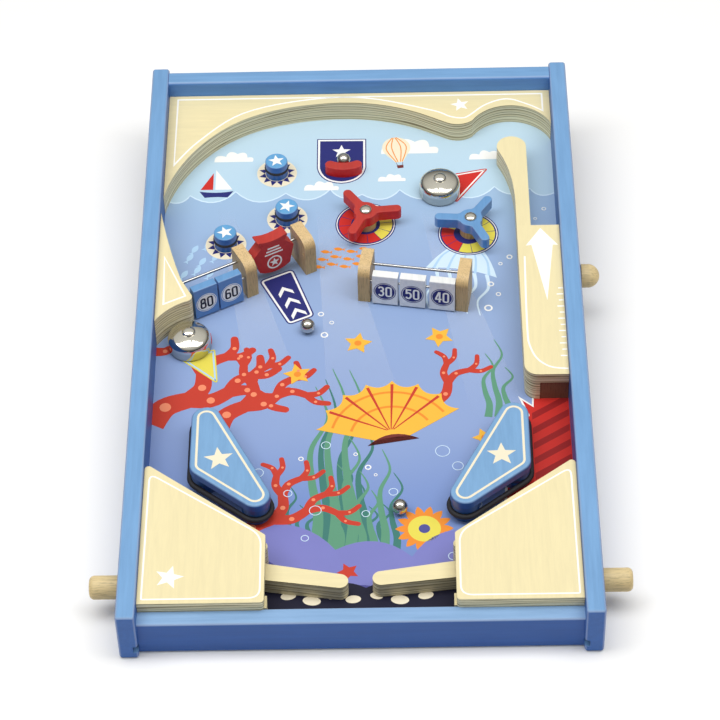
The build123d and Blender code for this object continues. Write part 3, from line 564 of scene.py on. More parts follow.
def film(name, shapes, tint, origin, right, up, thickness, body="cabinet"):
    """A film in a plane. Each shape lies a hair above the one before it."""
    build = bmesh.new()
    out = right.cross(up)
    for number, shape in enumerate(shapes):
        foot = origin + out * number * OVERLAY * MM
        for face in faces_of(shape):
            build.faces.new([build.verts.new(foot + (right * x + up * y) * MM) for x, y in face])
    bmesh.ops.remove_doubles(build, verts=build.verts, dist=1e-7)
    for face in build.faces:
        face.normal_update()
        if face.normal.dot(out) < 0:
            face.normal_flip()
    piece = linked(name, build, inks[tint])
    solid = piece.modifiers.new("film", "SOLIDIFY")
    solid.thickness = thickness * MM
    solid.offset = 1
    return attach(piece, body)


def printed(name, shapes, tint, layer):
    """A print on the deck. Higher layers cover lower ones."""
    film(f"print_{name}", shapes, tint, place(0, 0, DECK), ACROSS, ALONG, INK_STEP * layer)


def framed(name, outline, tint, layer, line_tint, width, distance):
    """A print with a line inside its edge."""
    printed(name, [outline], tint, layer)
    printed(f"{name}_line", [border(outline, width, distance)], line_tint, layer + 1)


def inlay(name, shapes, h, tint="inlay"):
    """An inlay in a face that lies with the deck."""
    film(f"inlay_{name}", shapes, tint, place(0, 0, h), ACROSS, ALONG, INLAY)


inks = {
    name: ink(f"ink_{name}", srgb(*colour))
    for name, colour in dict(
        white=(240, 241, 240), cream=(236, 226, 200), navy=(40, 44, 114), night=(22, 22, 46),
        red=(200, 44, 38), deep_red=(150, 28, 30), yellow=(224, 211, 84), orange=(232, 140, 48),
        coral=(194, 60, 44), coral_light=(236, 140, 104), weed=(92, 148, 120), weed_dark=(62, 120, 112),
        pale_blue=(172, 206, 236), violet=(122, 124, 190), deep_violet=(78, 78, 146), foam=(206, 228, 246),
        amber=(240, 182, 64), maroon=(112, 46, 42), inlay=(252, 251, 246),
    ).items()
}

# Sea: a row of waves over water that darkens towards the front
WATER_FRONT, WATER_BACK = -0.29, 0.19
water = printed_ground("printed_water")
tone = water.ramp(water.span(water.along(ALONG), WATER_FRONT, WATER_BACK), (
    (0.0, srgb(70, 92, 160)), (0.2, srgb(102, 130, 192)), (0.45, srgb(132, 155, 202)),
    (0.75, srgb(140, 166, 208)), (1.0, srgb(152, 184, 216)),
))
water.colour(water.mix(water.scaled(water.noise(7.0, 2.0), 0.3), tone, srgb(168, 184, 220)))
inks["water"] = water.material

CRESTS = [
    (HALF, 488), (149, 494), (118, 497), (76, 493), (35, 495), (2, 490), (-26, 497), (-65, 493),
    (-109, 496), (-149, 492), (-HALF, 486),
]
WAVES, WAVE_STEPS, SEA_FRONT = len(CRESTS) - 1, 8, 21
FRONT_EDGE = [(-HALF, SEA_FRONT), (HALF, SEA_FRONT)]
sea = bulged(CRESTS + FRONT_EDGE, [-0.27] * WAVES + [0, 0, 0], WAVE_STEPS)
printed("sea", [sea], "water", 2)
printed("foam", [stroke(sea[: WAVES * WAVE_STEPS], 1.4)], "foam", 3)


def cloud(x, y, width):
    """A flat-bottomed cloud of four puffs."""
    base = [(0.5, 0), (0.36, 0.16), (0.1, 0.3), (-0.2, 0.2), (-0.5, 0)]
    corners = [(x + width * px, y + width * py) for px, py in base]
    return bulged(corners, [0.45, 0.42, 0.42, 0.4, 0])


CLOUDS = ((-112, 534, 34), (44, 541, 50), (112, 532, 30), (-34, 496, 30), (28, 506, 24))
printed("clouds", [cloud(*spot) for spot in CLOUDS], "white", 3)

# A hot-air balloon
BALLOON = (8, 33, 545)
envelope = [disc(0, 4, 12.5, 1.06), [(-9.6, -4.6), (-3.2, -15), (3.2, -15), (9.6, -4.6)]]
gores = [stroke(smooth([(0.2 * x, 17), (x, 4), (0.3 * x, -14.5)], 6), 0.9) for x in (-9, -4, 4, 9)]
basket = [
    [(-2.6, -22.5), (2.6, -22.5), (3, -18.8), (-3, -18.8)],
    [(-3.1, -15), (-2.5, -18.8), (-2.1, -18.8), (-2.7, -15)],
    [(2.7, -15), (2.1, -18.8), (2.5, -18.8), (3.1, -15)],
]
for part, shapes, tint, layer in (
    ("envelope", envelope, "cream", 4), ("gores", gores, "orange", 5), ("basket", basket, "maroon", 4),
):
    printed(f"balloon_{part}", [rotated(shape, *BALLOON) for shape in shapes], tint, layer)

# Light that falls through the water and fades as it goes
beam = Paint("ink_beam", 0.5, specular=0.25)
beam.colour(beam.mix(beam.noise(20.0), srgb(214, 226, 246), srgb(232, 240, 252)))
up_beam = beam.along(ALONG)
fading = beam.scaled(beam.span(up_beam, -0.08, 0.1), beam.span(up_beam, 0.165, 0.08))
beam.link(beam.scaled(fading, 0.3), beam.shader.inputs["Alpha"])
inks["beam"] = beam.material
beams = [
    [(-38, 474), (-22, 474), (40, 222), (-26, 222)],
    [(52, 472), (64, 472), (140, 222), (92, 222)],
    [(-124, 474), (-112, 474), (-36, 222), (-86, 222)],
]
printed("beams", beams, "beam", 3)

# Sea bed: far and near hills, and the dark of the drain
far_hills = bulged(
    FRONT_EDGE + [(HALF, 126), (96, 108), (40, 84), (-20, 92), (-84, 118), (-HALF, 132)],
    [0, 0, -0.1, 0.2, 0.2, 0.16, 0.2, 0],
)
near_hills = bulged(
    FRONT_EDGE + [(HALF, 88), (66, 70), (22, 46), (-18, 50), (-62, 74), (-HALF, 90)],
    [0, 0, 0.1, 0.2, 0.22, 0.2, 0.16, 0],
)
drain = bulged(
    [
        (-110, SEA_FRONT), (110, SEA_FRONT), (110, 58), (72, 60), (38, 50), (4, 54), (-34, 49), (-70, 61),
        (-110, 58),
    ],
    [0, 0, 0.1, 0.14, 0.2, 0.2, 0.2, 0.14, 0],
)
PEBBLES = (
    (-56, 47, 6, 10), (-38, 42, 7, -8), (-22, 46, 4, 20), (-6, 43, 6, 4), (12, 46, 5, -14), (30, 42, 7, -6),
    (50, 46, 6, 12),
)
printed("far_hills", [far_hills], "violet", 7)
printed("near_hills", [near_hills], "deep_violet", 8)
printed("drain", [drain], "night", 9)
printed("pebbles", [disc(x, y, r, 0.62, turn) for x, y, r, turn in PEBBLES], "cream", 10)


def weed(x, y, height, sway, width):
    """A ribbon of seaweed that waves as it climbs."""
    line = smooth([(x + sway * sin(1.9 * i) * i / 5, y + height * i / 5) for i in range(6)])
    return stroke(line, width, 0.6)


weeds = [weed(-18 + 9 * i, 88, 92 + 30 * sin(1.7 * i), 9 + 3 * cos(i), 8) for i in range(5)]
weeds += [weed(104 + 8 * i, 228, 70 + 18 * sin(2.1 * i), 7, 6.5) for i in range(3)]
weeds += [weed(-36 + 14 * i, 92, 172 + 22 * sin(1.1 * i), 12, 10) for i in range(3)]
dark_weeds = [weed(-13 + 10 * i, 86, 72 + 26 * cos(1.3 * i), 8, 7) for i in range(5)]
dark_weeds += [weed(-56 + 8 * i, 96, 48 + 14 * cos(2.0 * i), 6, 6) for i in range(3)]
dark_weeds += [weed(-28 + 15 * i, 92, 156 + 24 * cos(1.6 * i), 10, 9) for i in range(3)]
printed("dark_weed", dark_weeds, "weed_dark", 4)
printed("weed", weeds, "weed", 6)


def coral(x, y, turn, length, width, forks, shapes, tips):
    """Branching coral: each branch bows a little and splits in two."""
    bow = length * (0.16 if forks % 2 else -0.16)
    line = smooth(rotated([(0, 0), (length * 0.5, bow), (length, 0)], turn, x, y), 5)
    narrow = width * 0.72
    shapes.append(stroke(line, width, narrow))
    end_x, end_y = line[-1]
    shapes.append(disc(end_x, end_y, narrow / 2, steps=14))
    tips.append(disc(*line[len(line) // 2], width * 0.2, steps=12))
    if forks:
        for split, share in ((30, 0.78), (-26, 0.84)):
            coral(end_x, end_y, turn + split, length * share, narrow, forks - 1, shapes, tips)


coral_shapes, coral_tips = [], []
for root in (
    (-171, 226, 40, 40, 24, 3), (-116, 218, 50, 34, 18, 3), (-94, 100, 44, 34, 15, 3),
    (-171, 306, 20, 16, 10, 2), (60, 244, 62, 26, 10, 2),
):
    coral(*root, coral_shapes, coral_tips)
printed("coral", coral_shapes, "coral", 5)
printed("coral_dots", coral_tips, "coral_light", 14)

# A jellyfish behind the wide gate
JELLYFISH = (-12, 86, 392)
hood = rotated(bulged([(-31, 0), (31, 0)], [-0.07, 0.6], 16), *JELLYFISH)
threads = [
    stroke(smooth(rotated([(x, 2), (x + 4, -14), (x - 2, -30), (x + 3, -46)], *JELLYFISH)), 3.4, 0.8)
    for x in range(-22, 23, 11)
]
folds = [
    stroke(smooth(rotated([(x, 1.5), (0.8 * x, 18), (0.35 * x, 31)], *JELLYFISH)), 2.4, 1.0)
    for x in range(-24, 25, 12)
]
printed("jellyfish_threads", threads, "foam", 5)
printed("jellyfish", [hood], "foam", 6)
printed("jellyfish_folds", folds, "pale_blue", 7)

# A fan shell, with ribs
SHELL_X, SHELL_Y, SHELL_R, SHELL_TURN = 26.0, 206.0, 63.0, -10.0


def shell_point(angle, share):
    """A point of the fan, by its angle from the middle and its share of the radius."""
    reach = SHELL_R * share
    spoke = (reach * sin(radians(angle)), reach * cos(radians(angle)))
    return rotated([spoke], -SHELL_TURN, SHELL_X, SHELL_Y)[0]


rim = [shell_point(angle, 1.0) for angle in range(70, -71, -20)]
fan = bulged(rim + [shell_point(-90, 0.2), shell_point(90, 0.2)], [-0.24] * 7 + [0.0] * 3)
ribs = [
    stroke([shell_point(angle * 0.3, 0.16), shell_point(angle, 0.94)], 0.8, 2.6)
    for angle in range(-50, 51, 20)
]
bands = [
    stroke(smooth([shell_point(angle, share) for angle in range(-66, 67, 12)], 3), 2.2)
    for share in (0.55, 0.8)
]
hinge = [shell_point(*spot) for spot in ((100, 0.34), (80, 0.12), (-80, 0.12), (-100, 0.34))]
printed("shell", [fan], "amber", 14)
printed("shell_bands", bands, "orange", 15)
printed("shell_ribs", ribs, "coral", 16)
printed("shell_hinge", [bulged(hinge, [0.1, 0, 0.1, -0.2])], "maroon", 17)

# An anemone, sea stars, shoals and bubbles
ANEMONE, PETALS = (50, 112), 14
petal = bulged([(9, -2.4), (23, 0), (9, 2.4)], [0.16, 0.16, 0])
petals = [rotated(petal, 360 / PETALS * i, *ANEMONE) for i in range(PETALS)]
printed("anemone", petals, "orange", 6)
printed("anemone_glow", [disc(*ANEMONE, 13)], "yellow", 7)
printed("anemone_heart", [disc(*ANEMONE, 4.5)], "deep_violet", 8)
SEA_STARS = ((-52, 278, 12, 12), (66, 318, 12, 30), (-2, 312, 12, -10), (100, 206, 10, 20))
SEA_STAR_WAIST = 0.5
hearts = [disc(x, y, r * 0.25, steps=16) for x, y, r, _ in SEA_STARS]
printed("sea_stars", [star(*spot, SEA_STAR_WAIST) for spot in SEA_STARS], "amber", 15)
printed("star_hearts", hearts, "orange", 16)
printed("red_star", [star(-10, 70, 9, 24, SEA_STAR_WAIST)], "coral", 11)


def fish(x, y, size, turn):
    body = bulged([(-0.55, 0), (0.5, 0)], [0.24, 0.24])
    tail = [(-0.46, 0.02), (-0.8, 0.24), (-0.7, 0), (-0.8, -0.24), (-0.46, -0.02)]
    return [rotated([(px * size, py * size) for px, py in shape], turn, x, y) for shape in (body, tail)]


def shoal(x, y, columns, lean, rise, hop, size, turn):
    """Three rows of fish. Each row leans over, and every other fish is a hop higher."""
    shapes = []
    for i in range(3 * columns):
        row, column = divmod(i, columns)
        shapes += fish(x + 11 * column + lean * row, y + rise * row + hop * (i % 2), size, turn)
    return shapes


printed("pale_shoal", shoal(-150, 396, 3, 4, 15, 5, 10, 62), "pale_blue", 4)
printed("orange_shoal", shoal(-36, 402, 4, 3, 9, 3, 8, 172), "orange", 5)
BUBBLES = (
    (-30, 322, 3.2), (-24, 336, 2.0), (-33, 346, 2.6), (108, 350, 3.6), (117, 366, 2.2), (111, 378, 2.8),
    (120, 402, 1.8), (6, 176, 2.6), (-4, 190, 1.8), (12, 168, 1.5), (88, 150, 2.8), (96, 162, 1.9),
    (-48, 186, 2.2), (156, 440, 2.4), (152, 456, 1.6), (160, 468, 2.0), (128, 410, 2.6),
)
WIDE_BUBBLES = (
    (-36, 132, 5.0), (-58, 150, 3.6), (78, 176, 4.6), (66, 192, 6.0), (92, 136, 4.2), (-28, 200, 4.0),
    (4, 128, 3.4), (-82, 172, 4.4), (26, 150, 3.8), (72, 84, 4.0), (-44, 104, 3.2),
)
printed("wide_bubbles", [ring(x, y, r - 0.6, r) for x, y, r in WIDE_BUBBLES], "foam", 17)
printed("bubbles", [ring(x, y, r * 0.62, r) for x, y, r in BUBBLES], "white", 17)

# A small sailing boat on the far waves
hull = bulged([(-141, 497), (-111, 497), (-116, 489), (-136, 489)], [0.06, 0, 0.04, 0])
printed("boat", [hull], "navy", 5)
printed("sail", [[(-127, 499), (-112, 499), (-127, 524)]], "white", 5)
printed("jib", [[(-129, 499), (-129, 520), (-140, 499)]], "red", 5)

# Prints that belong to the play: bumper rays, dials, shield, tongue, pennants and the hazard patch
BUMPERS = ((-73.1, 518.4), (-63.2, 461.1), (-115.6, 430.4))
ray = [(10.2, -2.9), (16.2, 0), (10.2, 2.9)]
rays = [rotated(ray, 30 * i + 15, *spot) for spot in BUMPERS for i in range(12)]
printed("bumper_discs", [disc(x, y, 17.6) for x, y in BUMPERS], "cream", 6)
printed("bumper_rays", rays, "navy", 7)

# Each dial: its middle, the angle of its first field, and which of its twelve fields are yellow
DIALS = ((4.9, 452.8, -55, range(3)), (93.5, 439.1, 157, range(3, 12)))
DIAL_R, DIAL_LINE, DIAL_FIELD, FIELD_GAP = 26.2, (24.5, 25.3), (12.6, 23.2), 0.8
dial_red, dial_yellow = [], []
for x, y, start, yellow in DIALS:
    for i in range(12):
        field = ring(x, y, *DIAL_FIELD, start + 30 * i + FIELD_GAP, start + 30 * (i + 1) - FIELD_GAP)
        (dial_yellow if i in yellow else dial_red).append(field)
printed("dials", [disc(x, y, DIAL_R, steps=72) for x, y, *_ in DIALS], "navy", 8)
printed("dial_lines", [ring(x, y, *DIAL_LINE) for x, y, *_ in DIALS], "white", 9)
printed("dial_red", dial_red, "red", 9)
printed("dial_yellow", dial_yellow, "yellow", 9)

shield = bulged([(-38, 561.6), (-38, 524), (-16, 504), (5.8, 524), (5.8, 561)], [0, 0.2, 0.2, 0, 0])
framed("shield", shield, "navy", 5, "white", 1.8, 0.9)
printed("shield_star", [star(-16.2, 545, 8.5)], "white", 6)

tongue = rounded([(-86.5, 386.4), (-57.4, 400.5), (-38.1, 344.3), (-60.2, 333.9)], [5, 5, 5, 5])
chevron = [(-6.5, -4), (0, 3), (6.5, -4), (6.5, 0.4), (0, 7.4), (-6.5, 0.4)]
chevrons = [rotated(chevron, 24, -52 - 17 * share, 347 + 38 * share) for share in (0.0, 0.33, 0.66)]
framed("tongue", tongue, "navy", 6, "white", 1.8, 1.2)
printed("tongue_marks", chevrons, "white", 7)

upper_pennant = rounded([(72, 511.5), (114, 520.8), (84, 477)], [2, 2, 2])
lower_pennant = rounded([(-150, 297), (-117.5, 268.5), (-121, 308)], [2, 2, 2])
framed("upper_pennant", upper_pennant, "red", 6, "white", 1.4, 1.2)
framed("lower_pennant", lower_pennant, "yellow", 15, "pale_blue", 1.4, 1.2)

burst = [(112, 120), (HALF, 120), (HALF, 262), (141, 262), (140, 240.2), (129, 249.9), (136, 229), (118, 186)]
burst_fill = [
    (114, 120), (HALF, 120), (HALF, 260.5), (142.2, 260.5), (141.2, 237.4), (132.2, 245.2), (137.6, 229),
    (120, 186),
]
stripes = [[(139.5, y), (169.5, y + 20), (169.5, y + 27), (139.5, y + 7)] for y in range(144, 225, 16)]
printed("hazard_edge", [burst], "white", 15)
printed("hazard", [burst_fill], "red", 16)
printed("hazard_stripes", stripes, "deep_red", 17)

# Inlays on the plywood: white lines and stars
arch_line = smooth([
    (-163, 508), (-141, 540), (-103, 575), (-45, 591.5), (8, 592), (64, 575), (80, 566.5), (91, 564),
    (98, 567), (113, 581), (131.8, 588), (150, 580.5), (164, 571),
], 6)
arch_frame = arch_line + [(164, 595.6), (-163, 595.6)]
inlay("arch", [border(arch_frame, 1.5)], LAYER)
inlay("arch_star", [star(90, 582.1, 8.6, 12)], LAYER)
guide_frame = [(-163.9, 331), (-144.2, 341), (-165, 389)]
inlay("guide", [border(guide_frame, 1.6)], COVER)
cover_frame = rounded([(75.6, 22), (167.1, 22), (166.4, 149), (76, 84.5)], [10, 2, 5, 20])
left_frame = [(-x, y) for x, y in cover_frame][::-1]
for side, line in (("right", cover_frame), ("left", left_frame)):
    inlay(f"cover_{side}", [border(line, 1.35)], COVER)
inlay("cover_star", [star(-146.1, 43.6, 11.6, -14)], COVER)
start_line = smooth([
    (139.2, 381), (138.2, 330), (138, 292), (138.9, 280), (143.2, 266.6), (150, 258.2), (158, 254),
    (169.4, 252.6),
], 6)
arrow = [(153.8, 414.4), (167.9, 394), (163.4, 394.4), (156, 329.7), (145.4, 394.4), (140.6, 393.7)]
TICK_START, TICK_STEP, TICK_END, TICK = 266.3, 6.95, 169.4, 1.3
ticks = []
for i in range(12):
    y = TICK_START + TICK_STEP * i
    ticks.append(oblong(163.9 + 1.6 * (i % 2), y, TICK_END, y + TICK))
inlay("start", [stroke(start_line, 1.5), arrow] + ticks, COVER)

SLING_TOP, BUMPER_TOP = 38.0, 29.5
SPOOLS = ((123.5, 162.0), (123.5, 211.0), (82.5, 129.5))
for side, hand in (("right", 1), ("left", -1)):
    sling_line = band_line([(hand * x, y, 7.6) for x, y in SPOOLS])
    sling_star = star(hand * 112.2, 167.4, 12.2, hand * -4 + 4)
    inlay(f"sling_{side}", [border(sling_line, 1.9)], SLING_TOP, "cream")
    inlay(f"sling_star_{side}", [sling_star], SLING_TOP, "cream")
bumper_stars = [star(*spot, 7.2, turn) for spot, turn in zip(BUMPERS, (8, -16, 20))]
inlay("bumper_stars", bumper_stars, BUMPER_TOP, "white")

# Targets: a number in a ring on the front of each block, its digits drawn as broad strokes
BROAD = 1.45


def bowl(low, high, half):
    """A closed bowl of a digit."""
    return border(rounded(oblong(-half, low, half, high), [2.4] * 4), BROAD)


def bend(*points):
    """An open stroke of a digit, curved through points."""
    return stroke(smooth(points), BROAD)


def bar(start, end):
    return stroke([start, end], BROAD)


DIGITS = {
    "0": [bowl(-5.2, 5.2, 2.55)],
    "3": [
        bend((-1.7, 3.0), (-1.1, 4.1), (0.3, 4.3), (1.5, 3.3), (1.4, 1.4), (-0.4, 0.35)),
        bend((-0.4, 0.5), (1.3, -0.3), (1.75, -2.3), (0.8, -4.1), (-0.7, -4.3), (-1.8, -3.1)),
    ],
    "4": [bar((0.7, 5.2), (-1.9, -1.7)), bar((-2.5, -2.2), (2.6, -2.2)), bar((1.0, 5.2), (1.0, -5.2))],
    "5": [
        bar((2.0, 4.35), (-2.2, 4.35)), bar((-1.5, 4.8), (-1.6, 0.1)),
        bend((-1.7, 0.7), (0.1, 1.3), (1.6, 0.1), (1.7, -2.5), (0.5, -4.2), (-1.0, -4.2), (-1.9, -3.0)),
    ],
    "6": [bowl(-5.2, 1.2, 2.55), bend((-1.65, -2.2), (-1.65, 1.6), (-1.2, 3.6), (0.2, 4.35), (1.8, 3.4))],
    "8": [bowl(-0.7, 5.2, 2.3), bowl(-5.2, 1.1, 2.55)],
}
DIGIT_STEP, DIGIT_SCALE = 3.2, 1.1
# Each gate: its corner, its turn, where its targets start along the rod, their numbers, and their colour
WIDE_STARTS = [10.2 + share * 73 for share in (0.032, 0.352, 0.697)]
ANGLED_STARTS = [-51 * (1 - share) for share in (0.035, 0.488)]
GATES = {
    "wide": ((-1.7, 360.952), -9.4, WIDE_STARTS, ("30", "50", "40"), "white"),
    "angled": ((-95.03, 366.221), 28.0, ANGLED_STARTS, ("80", "60"), "blue"),
}


def hung(gate_spot, turn, reach, depth, h):
    """A point on a gate's rod, the way the rod runs, and the plumb line square to it."""
    rod_way = ACROSS * cos(radians(turn)) + ALONG * sin(radians(turn))
    plumb = Vector((0, 0, 1))
    plumb = (plumb - rod_way * plumb.dot(rod_way)).normalized()
    point, = rotated([(reach, depth)], turn, *gate_spot)
    return place(*point, h), rod_way, plumb


AXLE_DEPTH, AXLE_H = 3.7, DECK + 22
BLOCK_WIDTH, FACE_LEAD, FACE_DROP, BADGE_R, BADGE_RING = 21.5, 4.7, 6.2, 8.3, (8.9, 9.5)
for gate, (spot, turn, starts, texts, tint) in GATES.items():
    ground, figure = ("navy", "white") if tint == "white" else ("white", "night")
    for number, (start, digits) in enumerate(zip(starts, texts), 1):
        axle, rod_way, plumb = hung(spot, turn, start + BLOCK_WIDTH / 2, AXLE_DEPTH, AXLE_H)
        face = axle + (rod_way.cross(plumb) * FACE_LEAD - plumb * FACE_DROP) * MM
        body = f"{tint}_target_{number}"
        label = f"{gate}_{number}"
        badge = [disc(0, 0, BADGE_R), ring(0, 0, *BADGE_RING)]
        strokes = []
        for digit, step in zip(digits, (-DIGIT_STEP, DIGIT_STEP)):
            for shape in DIGITS[digit]:
                strokes.append([
                    [(step + DIGIT_SCALE * x, DIGIT_SCALE * y) for x, y in corners]
                    for corners in faces_of(shape)
                ])
        film(f"target_disc_{label}", badge, ground, face, rod_way, plumb, 0.06, body)
        film(f"target_number_{label}", strokes, figure, face, rod_way, plumb, 0.12, body)

# The flap's face: a ring round a star, and bars above it
STOP_DEPTH, STOP_H, FLAP_REACH, FLAP_LEAD = 17.6, DECK + 28.6, 32.1, 5.5
hook, rod_way, plumb = hung(*GATES["angled"][:2], FLAP_REACH, STOP_DEPTH, STOP_H)
face = hook + rod_way.cross(plumb) * FLAP_LEAD * MM
marks = [ring(0, -11, 5.6, 7.0), star(0, -11, 4.6)]
marks += [oblong(-half, y, half, y + 1.5) for half, y in ((8.5, -1.6), (7, 1.6), (5.5, 4.8))]
film("flap_marks", marks, "white", face, rod_way, plumb, 0.08, "flap")

# Round pieces: rubber, wire and chrome


def smooth_piece(name, build, rings, closed, look):
    """A smooth object: rings of vertices, each joined to the next. A pole is one vertex all the way round."""
    for one, two in pairs(rings) if closed else zip(rings, rings[1:]):
        for (a, b), (c, d) in zip(pairs(one), pairs(two)):
            build.faces.new(list(dict.fromkeys((a, b, d, c))))
    bmesh.ops.recalc_face_normals(build, faces=build.faces)
    for face in build.faces:
        face.smooth = True
    return linked(name, build, look)


def tube(name, path, radius, look, reference, body=None, closed=True, sides=14):
    """A round rod swept along a path of points in metres."""
    build = bmesh.new()
    count = len(path)
    rings = []
    for i, middle in enumerate(path):
        before = path[i - 1] if closed or i else path[0]
        after = path[(i + 1) % count] if closed or i < count - 1 else path[-1]
        way = (after - before).normalized()
        side = way.cross(reference).normalized()
        lift = side.cross(way)
        rim = disc(0, 0, 1, steps=sides)
        rings.append([build.verts.new(middle + (side * x + lift * y) * radius) for x, y in rim])
    if not closed:
        build.faces.new(rings[0])
        build.faces.new(rings[-1][::-1])
    piece = smooth_piece(name, build, rings, closed, look)
    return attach(piece, body) if body else piece


TURNED_STEPS = 96


def turned(name, profile, spot, h, look, closed=False):
    """A turned piece: a profile of radii and heights, swung round a line square to the deck."""
    build = bmesh.new()
    rings = []
    for radius, rise in profile:
        if radius:
            rim = disc(*spot, radius, steps=TURNED_STEPS)
            rings.append([build.verts.new(place(*point, h + rise)) for point in rim])
        else:
            rings.append([build.verts.new(place(*spot, h + rise))] * TURNED_STEPS)
    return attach(smooth_piece(name, build, rings, closed, look), "cabinet")


def dome(radius, height, stem, length):
    """The profile of a domed head on a stem."""
    arc = [(radius * sin(radians(a)), height * cos(radians(a))) for a in range(0, 91, 9)]
    return [(0, height)] + arc[1:] + [(radius - 0.15, -0.1), (stem, -0.1), (stem, -length), (0, -length)]


# Chrome bells and domed pins, turned finer than the CAD's facets
# The bells' lower parts get painted shade
chrome = metal("bell_chrome", (0.82, 0.8, 0.72, 1), 0.09, low_shade=0.36)
BELL_R, SKIRT, SHOULDER, BELL_H, BELL_WALL, BORE, LIP = 18.0, 9.0, 6.5, 17.4, 1.2, 2.1, 0.9
SHOULDER_TURN, CROWN_STEPS, HEM = 70, 8, 0.2


def bell_side(wall):
    """The bell's side from the skirt to the bore, set in by a wall."""
    turn = SHOULDER - wall
    side = [
        (BELL_R - SHOULDER + turn * cos(radians(a)), SKIRT + turn * sin(radians(a)))
        for a in range(0, SHOULDER_TURN + 1, 7)
    ]
    x, y = side[-1]
    crown = BELL_H - wall
    slope = radians(90 - SHOULDER_TURN)
    knee = x - (crown - y) / sin(slope) * cos(slope)
    for step in range(1, CROWN_STEPS + 1):
        t = step / CROWN_STEPS
        radius = x * (1 - t) ** 2 + knee * 2 * t * (1 - t) + BORE * t**2
        side.append((radius, y * (1 - t) ** 2 + crown * (1 - (1 - t) ** 2)))
    return side


bell_profile = [(BELL_R - LIP + LIP * sin(radians(a)), LIP - LIP * cos(radians(a))) for a in range(0, 91, 18)]
bell_profile += bell_side(0.0) + bell_side(BELL_WALL)[::-1]
bell_profile += [(BELL_R - BELL_WALL, HEM), (BELL_R - BELL_WALL + HEM, 0.0)]
BELLS = {"upper": (70.04, 490.6), "lower": (-142.12, 311.5)}
SPINNERS = ((5.3, 451.9), (95.4, 441.0))
BELL_LIFT, PIN_LIFT = DECK + 0.6, DECK + 18.6
for name, spot in BELLS.items():
    bell = turned(f"chrome_bell_{name}", bell_profile, spot, BELL_LIFT, chrome, closed=True)
    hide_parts(f"bell_{name}")
    screw = turned(f"chrome_screw_{name}", dome(5.7, 2.6, 2.0, 18), spot, BELL_LIFT + BELL_H + 0.2, chrome)
    if name == "upper":
        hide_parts("bell_screws")
for number, spot in enumerate(SPINNERS, 1):
    pin = turned(f"chrome_pin_{number}", dome(5.3, 2.6, 2.4, 18), spot, PIN_LIFT, chrome)
    if number == 1:
        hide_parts("spinner_pins")

black_rubber = rubber("black_rubber")
wire = metal("spring_wire", (0.5, 0.5, 0.52, 1), 0.25)
BAND_H, BAND_R, BAND_LOOP = 21.5, 2.25, 12.55
RETURN_H, RETURN_R, STUD_LOOP, PEG_LOOP = 31.3, 0.8, 3.1, 3.6
RING_R, RING_LOOP = 1.7, 8.9
for side, hand in (("left", -1), ("right", 1)):
    line = [place(x, y, BAND_H) for x, y in band_line([(hand * x, y, BAND_LOOP) for x, y in SPOOLS])]
    band = tube(f"rubber_sling_{side}", line, BAND_R * MM, black_rubber, UPWARD, "cabinet")
    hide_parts(f"slingshot_band_{side}")
    stud, peg = (hand * 90.15, 50.5), (hand * 124.9, 40.0)
    line = [place(x, y, RETURN_H) for x, y in band_line([(*stud, STUD_LOOP), (*peg, PEG_LOOP)])]
    band = tube(f"rubber_return_{side}", line, RETURN_R * MM, black_rubber, UPWARD)
    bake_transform(band)
    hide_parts(f"return_band_{side}")
for number, spot in enumerate(BUMPERS, 1):
    line = [place(x, y, BAND_H) for x, y in disc(*spot, RING_LOOP, steps=60)]
    piece = tube(f"rubber_ring_{number}", line, RING_R * MM, black_rubber, UPWARD, "cabinet")
    if number == 1:
        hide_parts("bumper_rings")

SPRING_X, SPRING_H, SPRING_START, SPRING_END = 158.25, 24, 271.6, 363.4
SPRING_TURNS, SPRING_R, WIRE_R, COIL_STEPS, SQUASHED = 9, 6.2, 0.7, 36, 0.35
coil = []
for k in range((SPRING_TURNS + 2) * COIL_STEPS + 1):
    turns = k / COIL_STEPS
    climb = min(max(turns - 1, 0), SPRING_TURNS) / SPRING_TURNS
    flat_coils = min(turns, 1) + max(turns - 1 - SPRING_TURNS, 0)
    s = SPRING_START + flat_coils * 2 * WIRE_R + climb * (SPRING_END - SPRING_START - 4 * WIRE_R)
    across, lift = SPRING_R * cos(2 * pi * turns), SPRING_R * sin(2 * pi * turns)
    coil.append(place(SPRING_X + across, s, SPRING_H + lift))
spring = tube("spring_coil", coil, WIRE_R * MM, wire, ALONG, closed=False, sides=10)
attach(spring, "cabinet")
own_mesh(spring)
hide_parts("launcher_spring")

# Floor, light and camera
FLOOR = 6.0
floor_paint = Paint("floor_white", 0.9, specular=0.0)
floor_paint.colour(floor_paint.mix(floor_paint.noise(3.0), grey(0.93), grey(0.96)))
floor_build = bmesh.new()
floor_build.faces.new([floor_build.verts.new((x, y, 0)) for x, y in oblong(-FLOOR, -FLOOR, FLOOR, FLOOR)])
floor = linked("floor", floor_build, floor_paint.material)

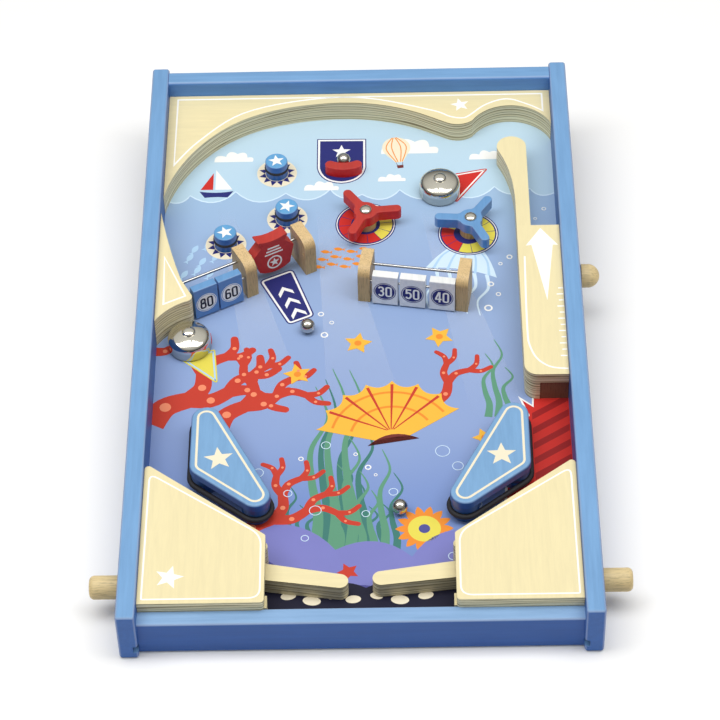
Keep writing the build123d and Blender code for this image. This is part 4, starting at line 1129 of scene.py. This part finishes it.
# A studio that is dark low down and paler overhead, for the chrome to show
world = bpy.data.worlds.new("studio")
bpy.context.scene.world = world
world.use_nodes = True
sky_nodes, sky_links = world.node_tree.nodes, world.node_tree.links
direction = sky_nodes.new("ShaderNodeTexCoord")
split = sky_nodes.new("ShaderNodeSeparateXYZ")
heights = sky_nodes.new("ShaderNodeValToRGB")
heights.color_ramp.elements.new(0.5)
for element, (position, tone) in zip(heights.color_ramp.elements, ((0.2, 0.05), (0.7, 0.55), (1.0, 0.7))):
    element.position = position
    element.color = (tone, tone * 0.98, tone * 0.92, 1)
sky_links.new(direction.outputs["Generated"], split.inputs["Vector"])
sky_links.new(split.outputs["Z"], heights.inputs["Fac"])
sky_links.new(heights.outputs["Color"], sky_nodes["Background"].inputs["Color"])

for name, x, power in (("left_box", -0.78, 20.5), ("right_box", 0.7, 18.5)):
    softbox = bpy.data.lights.new(name, "AREA")
    softbox.shape = "RECTANGLE"
    softbox.size, softbox.size_y = 1.0, 1.7
    softbox.energy = power
    lamp = bpy.data.objects.new(name, softbox)
    lamp.location = (x, -0.22, 1.95)
    lamp.rotation_euler = (-lamp.location).to_track_quat("-Z", "Y").to_euler()
    bpy.context.collection.objects.link(lamp)

# The camera that matches the picture, fitted to the rails: a long lens that looks down over the front
SENSOR, PICTURE = 36, 720
FOCAL, LOOK_DOWN, YAW, ROLL = 2844.823, 0.827892, -0.0218477, -0.0325038
SHIFT_X, SHIFT_Y, DISTANCE = -6.1106, 191.5013, 2134.5635
board = Matrix(AXES).transposed()
turn_back = Matrix.Rotation(-YAW, 3, "Z")
right = Vector((1, 0, 0))
down = Vector((0, -sin(LOOK_DOWN), -cos(LOOK_DOWN)))
forward = Vector((0, cos(LOOK_DOWN), -sin(LOOK_DOWN)))
eye = turn_back @ (-SHIFT_X * right - SHIFT_Y * down - DISTANCE * forward)
image_right = cos(ROLL) * right - sin(ROLL) * down
image_down = sin(ROLL) * right + cos(ROLL) * down
axes = [board @ turn_back @ axis for axis in (image_right, -image_down, -forward)]
camera = bpy.data.objects.new("camera", bpy.data.cameras.new("camera"))
camera.data.sensor_width = SENSOR
camera.data.lens = SENSOR * FOCAL / PICTURE
camera.data.clip_start, camera.data.clip_end = 0.05, 20
stand = Matrix.Translation(place(eye.x, eye.y, eye.z + RAIL_H))
camera.matrix_world = stand @ Matrix(axes).transposed().to_4x4()
bpy.context.collection.objects.link(camera)
bpy.context.scene.camera = camera
bpy.context.scene.view_settings.view_transform = "Standard"
